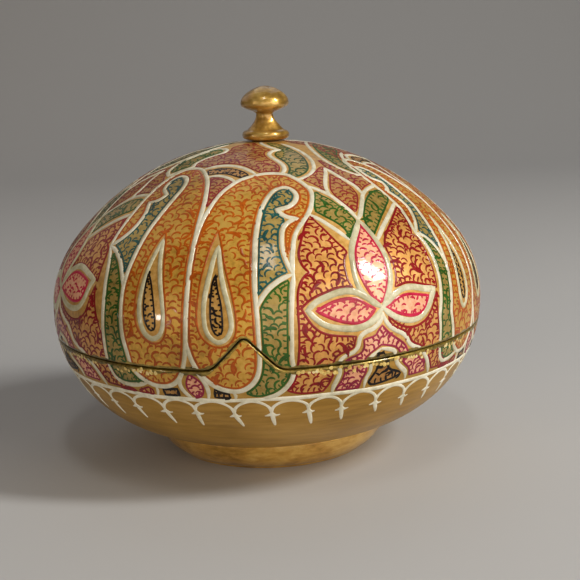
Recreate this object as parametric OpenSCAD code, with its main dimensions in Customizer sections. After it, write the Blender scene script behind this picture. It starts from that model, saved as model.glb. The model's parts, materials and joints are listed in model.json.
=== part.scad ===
// Kashmiri papier mache box: a flattened globe on a low foot ring, parted just
// below its widest level. Four pointed tongues on the bowl's rim key into
// notches in the domed lid, and a collar inside the bowl guides the lid.
// Millimetres, +Z up, origin at the centre of the foot's standing face,
// one tongue facing -Y.

/* [Body] */
// Widest outside diameter of the closed box
body_d = 125; // [115:1:135]
// Height of the dome above the widest level
dome_h = 46.5; // [43:0.5:50]
// Depth of the bowl below the widest level
bowl_h = 41; // [39:0.5:44]
// Radius of the arc that turns the lid's side into its crown
shoulder_r = 32; // [29:0.5:35]
// Radius of the arc that turns the bowl's side into its bottom
side_r = 36; // [33:0.5:38]
// Thickness of the moulded paper wall
wall_t = 2.6; // [2:0.1:3.5]

/* [Parting line] */
// How far below the widest level the lid and the bowl part
seam_drop = 6.3; // [4:0.1:8]
// Gap that the paint leaves between the two flat rims
seam_gap = 0.3; // [0.2:0.05:0.5]
// Number of pointed tongues round the bowl's rim
tongue_count = 4; // [1:1:6]
// Width of a tongue where it leaves the rim
tongue_w = 22; // [17:0.5:26]
// Height of a tongue above the rim
tongue_h = 8.4; // [7:0.1:9.2]
// Radius of the hollow curve at each side of a tongue
tongue_cove_r = 5; // [3:0.5:6]
// Radius of a tongue's tip
tongue_tip_r = 1.5; // [0.5:0.1:2.5]
// Clearance between a tongue and its notch in the lid
notch_gap = 0.35; // [0.25:0.05:0.6]

/* [Inner collar] */
// Thickness of the card collar
collar_t = 1.6; // [1:0.1:2.4]
// Height of the collar above the parting line
collar_rise = 10.5; // [9.5:0.5:13]
// Depth of the collar below the parting line
collar_drop = 12; // [8:0.5:15]
// Clearance between the collar and the lid
collar_gap = 0.45; // [0.3:0.05:0.7]
// Bevel round the collar's upper outer edge
collar_bevel = 0.6; // [0.3:0.1:0.9]
// Thickness of the glue line between pieces that are stuck together
glue_gap = 0.1; // [0.05:0.05:0.2]

/* [Foot ring] */
// Outside diameter of the foot's standing face
foot_d = 54; // [48:1:58]
// Outside diameter of the foot where it meets the bowl
foot_top_d = 69; // [65:1:74]
// Width of the foot's standing face
foot_face_w = 5; // [3.5:0.5:8]
// Radius of the foot's rounded side
foot_side_r = 12; // [9:0.5:18]
// Height of the bowl's underside above the table
foot_lift = 2.5; // [1.5:0.25:4]

/* [Knob] */
// Diameter of the knob's head
knob_d = 14; // [12:0.5:18]
// Height of the head's domed top
knob_cap_h = 5.5; // [3:0.1:6]
// Height of the head's tapered underside
knob_under_h = 2.1; // [1.5:0.1:4]
// Diameter of the knob's neck
knob_neck_d = 5.2; // [4:0.1:7]
// Height of the neck
knob_neck_h = 1.6; // [1:0.1:4]
// Diameter of the cone below the neck at its foot
knob_cone_d = 10; // [8:0.1:11]
// Height of the cone below the neck
knob_cone_h = 3.6; // [2:0.1:5]
// Diameter of the knob's round base bead
knob_bead_d = 14; // [12:0.5:18]
// Height of the base bead on the crown of the lid
knob_bead_h = 2.6; // [2:0.1:3.4]
// Diameter of the peg under the knob
peg_d = 5; // [4:0.1:6.5]
// Length of peg that stands out below the backing disc
peg_proud = 1; // [0.5:0.1:2]
// Clearance round the peg
peg_gap = 0.1; // [0.05:0.05:0.2]
// Diameter of the backing disc inside the lid
disc_d = 18; // [14:0.5:24]
// Thickness of the backing disc
disc_t = 1.6; // [1:0.1:2.5]

/* [Hidden] */
$fn = 180;
// Largest step between points on the oval's arcs, in degrees
arc_step = 4;
// Steps on each curve of a tongue's outline
curve_steps = 8;
// How far cutting shapes reach past what they cut
over = 1;

body_r = body_d / 2;
widest_z = foot_lift + bowl_h;
seam_z = widest_z - seam_drop;
crown_z = widest_z + dome_h;

// The outside is a three-centred oval. Each half is a small arc at the side and a
// large arc round the pole; their centres lie on one line, so they meet smoothly.
function pole_drop(h, r) = (pow(body_r - r, 2) - pow(h - r, 2)) / (2 * (h - r));
shoulder_x = body_r - shoulder_r;
side_x = body_r - side_r;
crown_k = pole_drop(dome_h, shoulder_r);
bottom_k = pole_drop(bowl_h, side_r);
crown_r = dome_h + crown_k;
bottom_r = bowl_h + bottom_k;
crown_centre_z = widest_z - crown_k;
bottom_centre_z = widest_z + bottom_k;
shoulder_a = atan2(crown_k, shoulder_x);
side_a = atan2(bottom_k, side_x);

// Inside radius of the closed box at height z near the widest level
function inside_r(z) = z < widest_z
    ? side_x + sqrt(pow(side_r - wall_t, 2) - pow(widest_z - z, 2))
    : shoulder_x + sqrt(pow(shoulder_r - wall_t, 2) - pow(z - widest_z, 2));
collar_top = seam_z + collar_rise;
collar_bottom = seam_z - collar_drop;
collar_r = min(inside_r(seam_z + seam_gap), inside_r(collar_top)) - collar_gap;

// Points on an arc after its first point, in steps of at most arc_step degrees
function arc_on(centre, r, a0, a1) = let (n = ceil(abs(a1 - a0) / arc_step)) [
    for (i = [1:n]) let (a = a0 + (a1 - a0) * i / n) centre + r * [cos(a), sin(a)]
];

// The oval's right half, from its lowest point to its highest, inset by t
function oval_line(t) = concat(
    [[0, foot_lift + t]],
    arc_on([0, bottom_centre_z], bottom_r - t, -90, -side_a),
    arc_on([side_x, widest_z], side_r - t, -side_a, 0),
    arc_on([shoulder_x, widest_z], shoulder_r - t, 0, shoulder_a),
    arc_on([0, crown_centre_z], crown_r - t, shoulder_a, 90)
);
function reversed(points) = [for (i = [len(points) - 1:-1:0]) points[i]];

// Half section of the closed box's wall
module wall_section() {
    polygon(concat(oval_line(0), reversed(oval_line(wall_t))));
}

// Half of the plane between two heights
module level_band(z0, z1) {
    translate([0, z0])
        square([body_d, z1 - z0]);
}

// Outline of a tongue, from its rim line at y = 0, grown outwards by g.
// The flank is the line that touches the cove circle and the tip circle.
cove_x = tongue_w / 2;
tip_y = tongue_h - tongue_tip_r;
flank_a = asin((tongue_cove_r + tongue_tip_r) / norm([cove_x, tongue_cove_r - tip_y]))
    - atan2(tongue_cove_r - tip_y, cove_x);
function cove_side(g) = [
    for (i = [0:curve_steps]) let (a = flank_a * i / curve_steps)
        [cove_x - (tongue_cove_r - g) * sin(a), tongue_cove_r - (tongue_cove_r - g) * cos(a)]
];
function tip_side(g) = [
    for (i = [curve_steps:-1:0]) let (a = flank_a * i / curve_steps)
        [(tongue_tip_r + g) * sin(a), tip_y + (tongue_tip_r + g) * cos(a)]
];
function half_ogee(g) = concat([[cove_x, -over]], cove_side(g), tip_side(g));
function mirrored(points) = [for (p = reversed(points)) [-p.x, p.y]];

// The tongues as bars that run out from the middle of the box
module tongue_bars(g) {
    for (i = [0:tongue_count - 1])
        rotate([90, 0, 360 / tongue_count * i])
            translate([0, seam_z, body_r / 2])
                linear_extrude(height = body_r)
                    polygon(concat(half_ogee(g), mirrored(half_ogee(g))));
}

module base_shell() {
    top = seam_z + tongue_h + over;
    color("darkgoldenrod")
        difference() {
            rotate_extrude()
                intersection() {
                    wall_section();
                    level_band(0, top);
                }
            difference() {
                translate([0, 0, seam_z])
                    cylinder(h = top - seam_z + over, r = body_r + over);
                tongue_bars(0);
            }
        }
}

module lid_shell() {
    color("firebrick")
        difference() {
            rotate_extrude()
                intersection() {
                    wall_section();
                    level_band(seam_z + seam_gap, crown_z + over);
                }
            tongue_bars(notch_gap);
            translate([0, 0, crown_z - wall_t - over])
                cylinder(h = wall_t + 2 * over, d = peg_d + 2 * peg_gap, $fn = 64);
        }
}

// What lies inside the collar's surface: straight above, following the bowl below
module collar_core(inset) {
    intersection() {
        translate([side_x, widest_z])
            circle(r = side_r - wall_t - glue_gap - inset);
        level_band(collar_bottom, collar_top + over);
        translate([0, collar_bottom])
            square([collar_r - inset, collar_rise + collar_drop + over]);
    }
}

module inner_collar() {
    color("dimgray")
        rotate_extrude()
            difference() {
                intersection() {
                    collar_core(0);
                    level_band(collar_bottom, collar_top);
                }
                collar_core(collar_t);
                square([side_x, collar_top + over]);
                translate([collar_r, collar_top])
                    rotate(45)
                        square(collar_bevel * sqrt(2), center = true);
            }
}

// The foot's side is an arc through the edge of its standing face and the line
// where it meets the bowl.
foot_r = foot_d / 2;
foot_top_r = foot_top_d / 2;
foot_top_z = bottom_centre_z - sqrt(pow(bottom_r, 2) - pow(foot_top_r, 2));
foot_chord = [foot_top_r - foot_r, foot_top_z];
foot_side_back = sqrt(pow(foot_side_r, 2) - pow(norm(foot_chord) / 2, 2)) / norm(foot_chord);
foot_side_centre = [foot_r, 0] + foot_chord / 2
    + foot_side_back * [-foot_chord.y, foot_chord.x];

module foot_ring() {
    color("goldenrod")
        rotate_extrude()
            difference() {
                intersection() {
                    translate(foot_side_centre)
                        circle(r = foot_side_r);
                    translate([foot_r - foot_face_w, 0])
                        square([foot_top_r - foot_r + foot_face_w, foot_top_z]);
                }
                translate([0, bottom_centre_z])
                    circle(r = bottom_r + glue_gap);
            }
}

// Heights of the knob's parts above the crown of the lid
cone_z = knob_bead_h;
neck_z = cone_z + knob_cone_h;
under_z = neck_z + knob_neck_h;
rim_z = under_z + knob_under_h;
cap_r = (pow(knob_d / 2, 2) + pow(knob_cap_h, 2)) / (2 * knob_cap_h);
peg_l = wall_t + disc_t + glue_gap + peg_proud;

module knob() {
    bead_r = knob_bead_h / 2;
    color("gold")
        translate([0, 0, crown_z])
            rotate_extrude()
                difference() {
                    union() {
                        translate([0, -bead_r])
                            square([knob_bead_d / 2 - bead_r, knob_bead_h + bead_r]);
                        translate([knob_bead_d / 2 - bead_r, bead_r])
                            circle(r = bead_r, $fn = 64);
                        polygon([
                            [0, cone_z - bead_r],
                            [knob_cone_d / 2, cone_z - bead_r],
                            [knob_cone_d / 2, cone_z],
                            [knob_neck_d / 2, neck_z],
                            [knob_neck_d / 2, under_z],
                            [knob_d / 2, rim_z],
                            [0, rim_z]
                        ]);
                        intersection() {
                            translate([0, rim_z + knob_cap_h - cap_r])
                                circle(r = cap_r);
                            translate([0, rim_z])
                                square([knob_d, knob_cap_h + over]);
                        }
                        translate([0, -peg_l])
                            square([peg_d / 2, peg_l]);
                    }
                    difference() {
                        translate([0, -crown_r])
                            circle(r = crown_r + glue_gap);
                        translate([0, -peg_l - over])
                            square([peg_d / 2, peg_l + 2 * over]);
                    }
                }
}

module knob_backing_disc() {
    color("saddlebrown")
        translate([0, 0, crown_centre_z])
            rotate_extrude()
                intersection() {
                    difference() {
                        circle(r = crown_r - wall_t - glue_gap);
                        circle(r = crown_r - wall_t - glue_gap - disc_t);
                    }
                    translate([peg_d / 2 + peg_gap, 0])
                        square([disc_d / 2 - peg_d / 2 - peg_gap, crown_r]);
                }
}

base_shell();
lid_shell();
inner_collar();
foot_ring();
knob();
knob_backing_disc();
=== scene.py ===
"""Kashmiri papier mache box: a flattened globe on a low foot ring, dressed round its
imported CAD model.

Every painted line and field is laid out on one flat chart of the box. A place on the
chart is (turn, climb): degrees round the box from the front tongue, positive towards
+X, and millimetres along the wall, up from the parting line. The same chart places
the ground, the raised cream outlines, the colour fields and the brush strokes.
"""
import json
import math
import random
import typing

import bpy
import numpy as np
from mathutils import Matrix, Vector
from mathutils.geometry import delaunay_2d_cdt

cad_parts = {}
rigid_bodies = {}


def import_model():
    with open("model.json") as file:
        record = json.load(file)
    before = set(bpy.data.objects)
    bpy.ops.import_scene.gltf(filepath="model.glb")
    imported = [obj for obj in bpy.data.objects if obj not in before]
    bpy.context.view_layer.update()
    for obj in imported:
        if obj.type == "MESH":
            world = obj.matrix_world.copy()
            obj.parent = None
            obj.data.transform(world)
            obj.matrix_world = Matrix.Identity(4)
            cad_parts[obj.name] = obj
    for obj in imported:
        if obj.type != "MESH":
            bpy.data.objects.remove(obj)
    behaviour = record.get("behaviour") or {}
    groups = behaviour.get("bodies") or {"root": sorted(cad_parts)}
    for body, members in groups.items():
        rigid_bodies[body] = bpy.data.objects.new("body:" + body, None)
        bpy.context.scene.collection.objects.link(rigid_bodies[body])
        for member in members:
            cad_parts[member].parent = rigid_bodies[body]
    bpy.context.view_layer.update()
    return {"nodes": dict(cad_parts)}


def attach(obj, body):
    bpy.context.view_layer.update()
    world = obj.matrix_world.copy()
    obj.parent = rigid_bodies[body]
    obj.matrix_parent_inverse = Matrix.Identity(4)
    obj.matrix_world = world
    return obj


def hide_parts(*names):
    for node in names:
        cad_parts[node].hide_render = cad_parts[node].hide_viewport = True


bl_info = {
    "name": "Kashmiri Papier Mache Box",
    "version": (1, 0, 0),
    "blender": (4, 5, 0),
    "location": "3D View > Sidebar > Painted Box",
    "description": "Paints and finishes a round lidded papier mache box",
    "category": "Object",
}

for leftover in list(bpy.data.objects):
    bpy.data.objects.remove(leftover)
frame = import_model()
MM = 0.001

# ------------------------------------------------------------------ the box's own sizes
# Millimetres, as in the CAD source.
BODY_R = 62.5
DOME_H = 46.5
BOWL_H = 41.0
SHOULDER_R = 32.0
SIDE_R = 36.0
WALL_T = 2.6
SEAM_DROP = 6.3
SEAM_GAP = 0.3
TONGUES = 4
TONGUE_W = 22.0
TONGUE_H = 8.4
COVE_R = 5.0
TIP_R = 1.5
NOTCH_GAP = 0.35
FOOT_LIFT = 2.5
PEG_HOLE_R = 2.6

# Thickness of chalk ground, paint and varnish that lies within the CAD wall
PAINT_T = 0.3
# Radius of the worn edge of a rim, outside and inside
RIM_ROUND = 0.55
INNER_ROUND = 0.25
# How far washes of colour, and the foot of the fields' own lines, lie off the CAD face
WASH_LIFT, LINE_LIFT = -PAINT_T + 0.05, -PAINT_T + 0.03
# Bare gilding left between a rim's edge and the pattern
RIM_BARE = {"lid": 0.8, "base": 0.75}

WIDEST_Z = FOOT_LIFT + BOWL_H
SEAM_Z = WIDEST_Z - SEAM_DROP
CROWN_Z = WIDEST_Z + DOME_H


def pole_drop(height, arc):
    """Distance from the widest level to the centre of the large arc over a pole."""
    reach = BODY_R - arc
    return (reach**2 - (height - arc) ** 2) / (2 * (height - arc))


CROWN_K = pole_drop(DOME_H, SHOULDER_R)
BOTTOM_K = pole_drop(BOWL_H, SIDE_R)
CROWN_R = DOME_H + CROWN_K
BOTTOM_R = BOWL_H + BOTTOM_K
SHOULDER_X = BODY_R - SHOULDER_R
SIDE_X = BODY_R - SIDE_R
SHOULDER_A = math.atan2(CROWN_K, SHOULDER_X)
SIDE_A = math.atan2(BOTTOM_K, SIDE_X)
CROWN_CENTRE = WIDEST_Z - CROWN_K
BOTTOM_CENTRE = WIDEST_Z + BOTTOM_K

# Climb of the widest level, of the arcs' joins and of the two poles
CLIMB_WIDEST = SIDE_R * math.asin(SEAM_DROP / SIDE_R)
CLIMB_SHOULDER = CLIMB_WIDEST + SHOULDER_R * SHOULDER_A
CLIMB_POLE = CLIMB_SHOULDER + CROWN_R * (math.pi / 2 - SHOULDER_A)
CLIMB_SIDE = CLIMB_WIDEST - SIDE_R * SIDE_A
CLIMB_FOOT = CLIMB_SIDE - BOTTOM_R * (math.pi / 2 - SIDE_A)


# ------------------------------------------------------------------ the box's surface
def on_box(turn, climb, lift=0.0):
    """Points in millimetres at a place on the chart, lifted off the CAD wall's face."""
    turn, climb, lift = np.broadcast_arrays(*(np.asarray(v, float) for v in (turn, climb, lift)))
    up = climb - CLIMB_WIDEST
    side = np.clip(up, CLIMB_SIDE - CLIMB_WIDEST, 0) / SIDE_R
    base = np.minimum(climb - CLIMB_SIDE, 0) / BOTTOM_R
    shoulder = np.clip(up, 0, CLIMB_SHOULDER - CLIMB_WIDEST) / SHOULDER_R
    crown = np.maximum(climb - CLIMB_SHOULDER, 0) / CROWN_R
    angle = side + base + shoulder + crown
    zones = [climb < CLIMB_SIDE, climb < CLIMB_WIDEST, climb < CLIMB_SHOULDER]
    centre_x = np.select(zones, [0.0, SIDE_X, SHOULDER_X], 0.0)
    centre_z = np.select(zones, [BOTTOM_CENTRE, WIDEST_Z, WIDEST_Z], CROWN_CENTRE)
    arc = np.select(zones, [BOTTOM_R, SIDE_R, SHOULDER_R], CROWN_R) + lift
    radius = centre_x + arc * np.cos(angle)
    height = centre_z + arc * np.sin(angle)
    a = np.radians(turn)
    return np.stack([radius * np.sin(a), -radius * np.cos(a), height], -1)


def chart_of(points):
    """Turn, climb and lift of points in millimetres near the box's surface."""
    p = np.asarray(points, float)
    turn = np.degrees(np.arctan2(p[..., 0], -p[..., 1]))
    radius, z = np.hypot(p[..., 0], p[..., 1]), p[..., 2]
    crown = np.arctan2(z - CROWN_CENTRE, radius)
    shoulder = np.arctan2(z - WIDEST_Z, radius - SHOULDER_X)
    side = np.arctan2(z - WIDEST_Z, radius - SIDE_X)
    base = np.arctan2(z - BOTTOM_CENTRE, radius)
    zones = [(z >= WIDEST_Z) & (crown > SHOULDER_A), z >= WIDEST_Z, base > -SIDE_A]
    climbs = [CLIMB_SHOULDER + CROWN_R * (crown - SHOULDER_A),
              CLIMB_WIDEST + SHOULDER_R * shoulder, CLIMB_WIDEST + SIDE_R * side]
    lifts = [np.hypot(radius, z - CROWN_CENTRE) - CROWN_R,
             np.hypot(radius - SHOULDER_X, z - WIDEST_Z) - SHOULDER_R,
             np.hypot(radius - SIDE_X, z - WIDEST_Z) - SIDE_R]
    climb = np.select(zones, climbs, CLIMB_SIDE + BOTTOM_R * (base + SIDE_A))
    return turn, climb, np.select(zones, lifts, np.hypot(radius, z - BOTTOM_CENTRE) - BOTTOM_R)


def facing(turn, climb):
    """Outward unit normals of the wall."""
    return on_box(turn, climb, 1.0) - on_box(turn, climb, 0.0)


def flat(turn, climb):
    """The chart rolled out round the crown: little stretched, so it is cut up there."""
    a, reach = np.radians(turn), CLIMB_POLE - np.asarray(climb, float)
    return np.stack([reach * np.sin(a), -reach * np.cos(a)], -1)


def unflat(points):
    """Turn and climb of points on the rolled-out chart."""
    x, y = points[..., 0], points[..., 1]
    return np.degrees(np.arctan2(x, -y)), CLIMB_POLE - np.hypot(x, y)


# The tongue's outline, as in the CAD source: cove, straight flank, round tip
TIP_Y = TONGUE_H - TIP_R
COVE_X = TONGUE_W / 2
FLANK_A = math.asin((COVE_R + TIP_R) / math.hypot(COVE_X, COVE_R - TIP_Y)) - math.atan2(
    COVE_R - TIP_Y, COVE_X
)


def tongue_rise(turn, grow):
    """Height above the flat rim of the tongue's outline, grown outwards."""
    pitch = 360 / TONGUES
    off = (np.asarray(turn, float) + pitch / 2) % pitch - pitch / 2
    x = np.abs(BODY_R * np.sin(np.radians(off)))
    tip, cove = TIP_R + grow, COVE_R - grow
    tip_x = tip * math.sin(FLANK_A)
    cove_x = COVE_X - cove * math.sin(FLANK_A)
    tip_y = TIP_Y + np.sqrt(np.maximum(tip**2 - x**2, 0))
    flank = TIP_Y + tip * math.cos(FLANK_A) - (x - tip_x) * math.tan(FLANK_A)
    cove_y = COVE_R - np.sqrt(np.maximum(cove**2 - (COVE_X - x) ** 2, 0))
    return np.select([x < tip_x, x < cove_x, x < COVE_X], [tip_y, flank, cove_y], 0.0)


def climb_at(z):
    """Climb of the wall's outer face at a height, near the widest level."""
    up = np.asarray(z, float) - WIDEST_Z
    arc = np.where(up < 0, SIDE_R, SHOULDER_R)
    return CLIMB_WIDEST + arc * np.arcsin(up / arc)


def rim_climb(turn, body):
    """Climb of a rim: the bowl's with its tongues, or the lid's with its notches."""
    if body == "base":
        return climb_at(SEAM_Z + tongue_rise(turn, 0.0))
    return climb_at(SEAM_Z + np.maximum(tongue_rise(turn, NOTCH_GAP), SEAM_GAP))


def from_rim(turn, climb, body):
    """Distance up the lid, or down the bowl, from its own rim."""
    off = climb - rim_climb(turn, body)
    return off if body == "lid" else -off


def worn(turn, climb, lift, body):
    """Lift after the rim's outer edge is rounded over."""
    off = np.clip(RIM_ROUND - from_rim(turn, climb, body), 0, RIM_ROUND)
    return lift - (RIM_ROUND - np.sqrt(RIM_ROUND**2 - off**2))


# ------------------------------------------------------------------ meshes
# Rows of a turned piece that lie nearer its axis than this close it there
ON_AXIS = 0.5
# Random phases of waves lie between 0 and this angle, all but a full turn
ANY_PHASE = 6.28


def new_object(name, verts, faces, materials):
    """A smooth mesh object at the origin from points in millimetres."""
    mesh = bpy.data.meshes.new(name)
    mesh.from_pydata((np.asarray(verts, float) * MM).tolist(), [], faces)
    mesh.update()
    mesh.shade_smooth()
    for material in materials:
        mesh.materials.append(material)
    obj = bpy.data.objects.new(name, mesh)
    bpy.context.scene.collection.objects.link(obj)
    return obj


def ring_faces(rows, steps, closed):
    """Faces between rings of corners, and from the last ring to the first if closed."""
    faces = []
    for j in range(rows if closed else rows - 1):
        low, high = j * steps, (j + 1) % rows * steps
        faces += [(low + i, low + (i + 1) % steps, high + (i + 1) % steps, high + i)
                  for i in range(steps)]
    return faces


def merged(parts):
    """Corners and faces of several meshes as one."""
    verts, faces, first = [], [], 0
    for v, f in parts:
        verts.append(v)
        faces += [tuple(i + first for i in face) for face in f]
        first += len(v)
    return np.concatenate(verts), faces


def turned(name, profile, material, steps, wobble, seed, tilt=0.0):
    """A turned piece from its half profile, bottom to top, closed on the axis. A row may
    hold the share of a tilt about the crown's centre, which slides it along the crown."""
    draw = random.Random(seed)
    waves = [(draw.randint(2, 7), draw.uniform(0, ANY_PHASE), draw.uniform(0, ANY_PHASE))
             for _ in range(5)]
    verts = []
    for r, z, *share in profile:
        lean = tilt * (share[0] if share else 0)
        for i in range(steps):
            a = 2 * math.pi * i / steps
            dr = wobble * sum(math.sin(n * a + p + z * 0.5 + q) for n, p, q in waves) / len(waves)
            rr = max(r - wobble + dr, 0.01) if r > ON_AXIS else r
            x, up = rr * math.cos(a), z - CROWN_CENTRE
            verts.append((x * math.cos(lean) + up * math.sin(lean), rr * math.sin(a),
                          CROWN_CENTRE - x * math.sin(lean) + up * math.cos(lean)))
    rows, solid = len(profile), profile[0][0] < ON_AXIS
    faces = ring_faces(rows, steps, not solid)
    if solid:
        faces.append(tuple(reversed(range(steps))))
        faces.append(tuple((rows - 1) * steps + i for i in range(steps)))
    return new_object(name, verts, faces, [material])


def arc_points(cx, cz, r, a0, a1, n):
    """Points on an arc in the half plane, angles in degrees."""
    return [
        (cx + r * math.cos(math.radians(a0 + (a1 - a0) * i / n)),
         cz + r * math.sin(math.radians(a0 + (a1 - a0) * i / n)))
        for i in range(n + 1)
    ]


# ------------------------------------------------------------------ nodes
def node(tree, kind, ins=None, **settings):
    """Adds a node with its settings, and its inputs' values or links."""
    n = tree.nodes.new(kind)
    for key, value in settings.items():
        setattr(n, key, value)
    for key, value in (ins or {}).items():
        if isinstance(value, bpy.types.Node):
            value = value.outputs[0]
        if isinstance(value, bpy.types.NodeSocket):
            tree.links.new(value, n.inputs[key])
        else:
            n.inputs[key].default_value = value
    return n


def linear(hex_colour):
    """sRGB hex to linear RGBA."""
    out = []
    for i in (1, 3, 5):
        c = int(hex_colour[i:i + 2], 16) / 255
        out.append(c / 12.92 if c <= 0.04045 else ((c + 0.055) / 1.055) ** 2.4)
    return (*out, 1.0)


def finish_shell(name, **sockets):
    """A new material and its Principled shader with plain values on its own sockets."""
    mat = bpy.data.materials.new(name)
    mat.use_nodes = True
    tree = mat.node_tree
    shader = tree.nodes["Principled BSDF"]
    for key, value in sockets.items():
        shader.inputs[key.replace("_", " ")].default_value = value
    return mat, tree, shader


class Paint(typing.NamedTuple):
    """A paint: colour, its darker and lighter drift, roughness under the varnish, how much
    of its light comes off flakes of metal, how much varnish it holds, and its brush
    marks: their stretch, how many there are to a metre, and their depth. The real ones
    are 0.2 mm apart, too fine to show, so most are drawn 1.4 mm apart."""
    colour: str
    dark: str
    light: str
    rough: float
    metal: float
    coat: float
    streak: tuple = (1, 1, 1)
    scale: float = 700.0
    bump: float = 0.05


def varnished(name, look, colour):
    """Brushed gouache under varnish: colour drifts in streaks, gloss from the coat."""
    mat, tree, shader = finish_shell(name, IOR=1.5, Metallic=look.metal, Coat_Weight=look.coat,
                                     Coat_Roughness=0.08, Coat_IOR=1.5)
    # Varnish wets the paint, so hardly any gloss is left at the paint's own face
    shader.inputs["Specular IOR Level"].default_value = 0.12
    place = node(tree, "ShaderNodeTexCoord").outputs["Object"]
    spread = node(tree, "ShaderNodeMapping", {"Vector": place, "Scale": look.streak})
    drift = node(tree, "ShaderNodeTexNoise",
                 {"Vector": spread, "Scale": look.scale, "Detail": 4.0, "Roughness": 0.6})
    # Patches 18 mm across, where the brush held more or less paint
    broad = node(tree, "ShaderNodeTexNoise", {"Vector": place, "Scale": 55.0, "Detail": 2.0})
    mixed = node(tree, "ShaderNodeMath", {0: drift, 1: broad}, operation="ADD")
    half = node(tree, "ShaderNodeMath", {0: mixed, 1: 0.5}, operation="MULTIPLY")
    tint = node(tree, "ShaderNodeValToRGB", {"Fac": half})
    stops = tint.color_ramp.elements
    stops.new(0.5)
    for stop, at, shade in zip(stops, (0.36, 0.5, 0.64),
                               (linear(look.dark), colour, linear(look.light))):
        stop.position, stop.color = at, shade
    tree.links.new(tint.outputs["Color"], shader.inputs["Base Color"])
    rough = node(tree, "ShaderNodeMapRange",
                 {"Value": drift, "To Min": look.rough * 0.8, "To Max": look.rough * 1.3})
    tree.links.new(rough.outputs["Result"], shader.inputs["Roughness"])
    dent = node(tree, "ShaderNodeBump",
                {"Strength": look.bump, "Distance": 0.0004, "Height": drift})
    tree.links.new(dent.outputs["Normal"], shader.inputs["Normal"])
    return mat


# ------------------------------------------------------------------ ground shells
# A shell's materials by slot
OUTSIDE, EDGE, INSIDE = range(3)
# Distances from the rim: the end of its worn gilding, and of the rows that follow it
# closely. The other rows are spread evenly from there to the pole.
EDGE_W, CLOSE_ROWS_END = 1.0, 1.6


def columns():
    """Turns at which the shells are cut, close together where a tongue stands."""
    pitch = 360 / TONGUES
    half = math.degrees(COVE_X / BODY_R) + 1.5
    fine = np.linspace(-half, half, 73)[:-1]
    wide = np.linspace(half, pitch - half, 37)[:-1]
    one = np.concatenate([fine, wide])
    return np.concatenate([one + pitch * i for i in range(TONGUES)])


def shell(name, body, ground, edge, lacquer):
    """One moulded shell: chalk ground outside, a rounded rim, lacquer inside."""
    turns = columns()
    rim = rim_climb(turns, body)
    up = 1 if body == "lid" else -1
    end = CLIMB_POLE - PEG_HOLE_R if body == "lid" else CLIMB_FOOT + 0.6
    rest = np.abs(end - rim) - CLOSE_ROWS_END
    rows = []

    def row(distance, lift, round_r, zone):
        """Places at a distance from the rim; the rim's edge is rounded by round_r."""
        off = np.clip(round_r - np.minimum(distance, round_r), 0, round_r)
        inward = round_r - np.sqrt(np.maximum(round_r**2 - off**2, 0))
        outer = lift > -WALL_T / 2
        rows.append((on_box(turns, rim + up * distance, lift - inward if outer else lift + inward),
                     zone))

    bend = 1 - np.cos(np.linspace(0, math.pi / 2, 7))
    steps = np.concatenate([RIM_ROUND * bend, [0.75, 1.1, CLOSE_ROWS_END]])
    inner_steps = INNER_ROUND * (1 - np.cos(np.linspace(0, math.pi / 2, 5)))
    far = np.linspace(0, 1, 66)[1:]
    for t in far[::-1][::2]:
        row(CLOSE_ROWS_END + rest * t, -WALL_T, INNER_ROUND, INSIDE)
    for d in inner_steps[::-1]:
        row(np.full_like(rim, d), -WALL_T, INNER_ROUND, INSIDE if d > 0 else EDGE)
    for d in steps:
        row(np.full_like(rim, d), -PAINT_T, RIM_ROUND, EDGE if d < EDGE_W else OUTSIDE)
    for t in far:
        row(CLOSE_ROWS_END + rest * t, -PAINT_T, RIM_ROUND, OUTSIDE)
    n, count = len(turns), len(rows)
    faces = ring_faces(count, n, body == "lid")
    zones = [zone for _, zone in rows[:-1] for _ in turns]
    if body == "lid":
        zones += [INSIDE] * n
    else:
        faces = [face[::-1] for face in faces]
        faces += [tuple(range(n)), tuple((count - 1) * n + i for i in reversed(range(n)))]
        zones += [INSIDE, OUTSIDE]
    obj = new_object(name, np.concatenate([places for places, _ in rows]), faces,
                     [ground, edge, lacquer])
    obj.data.polygons.foreach_set("material_index", zones)
    return obj


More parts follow.
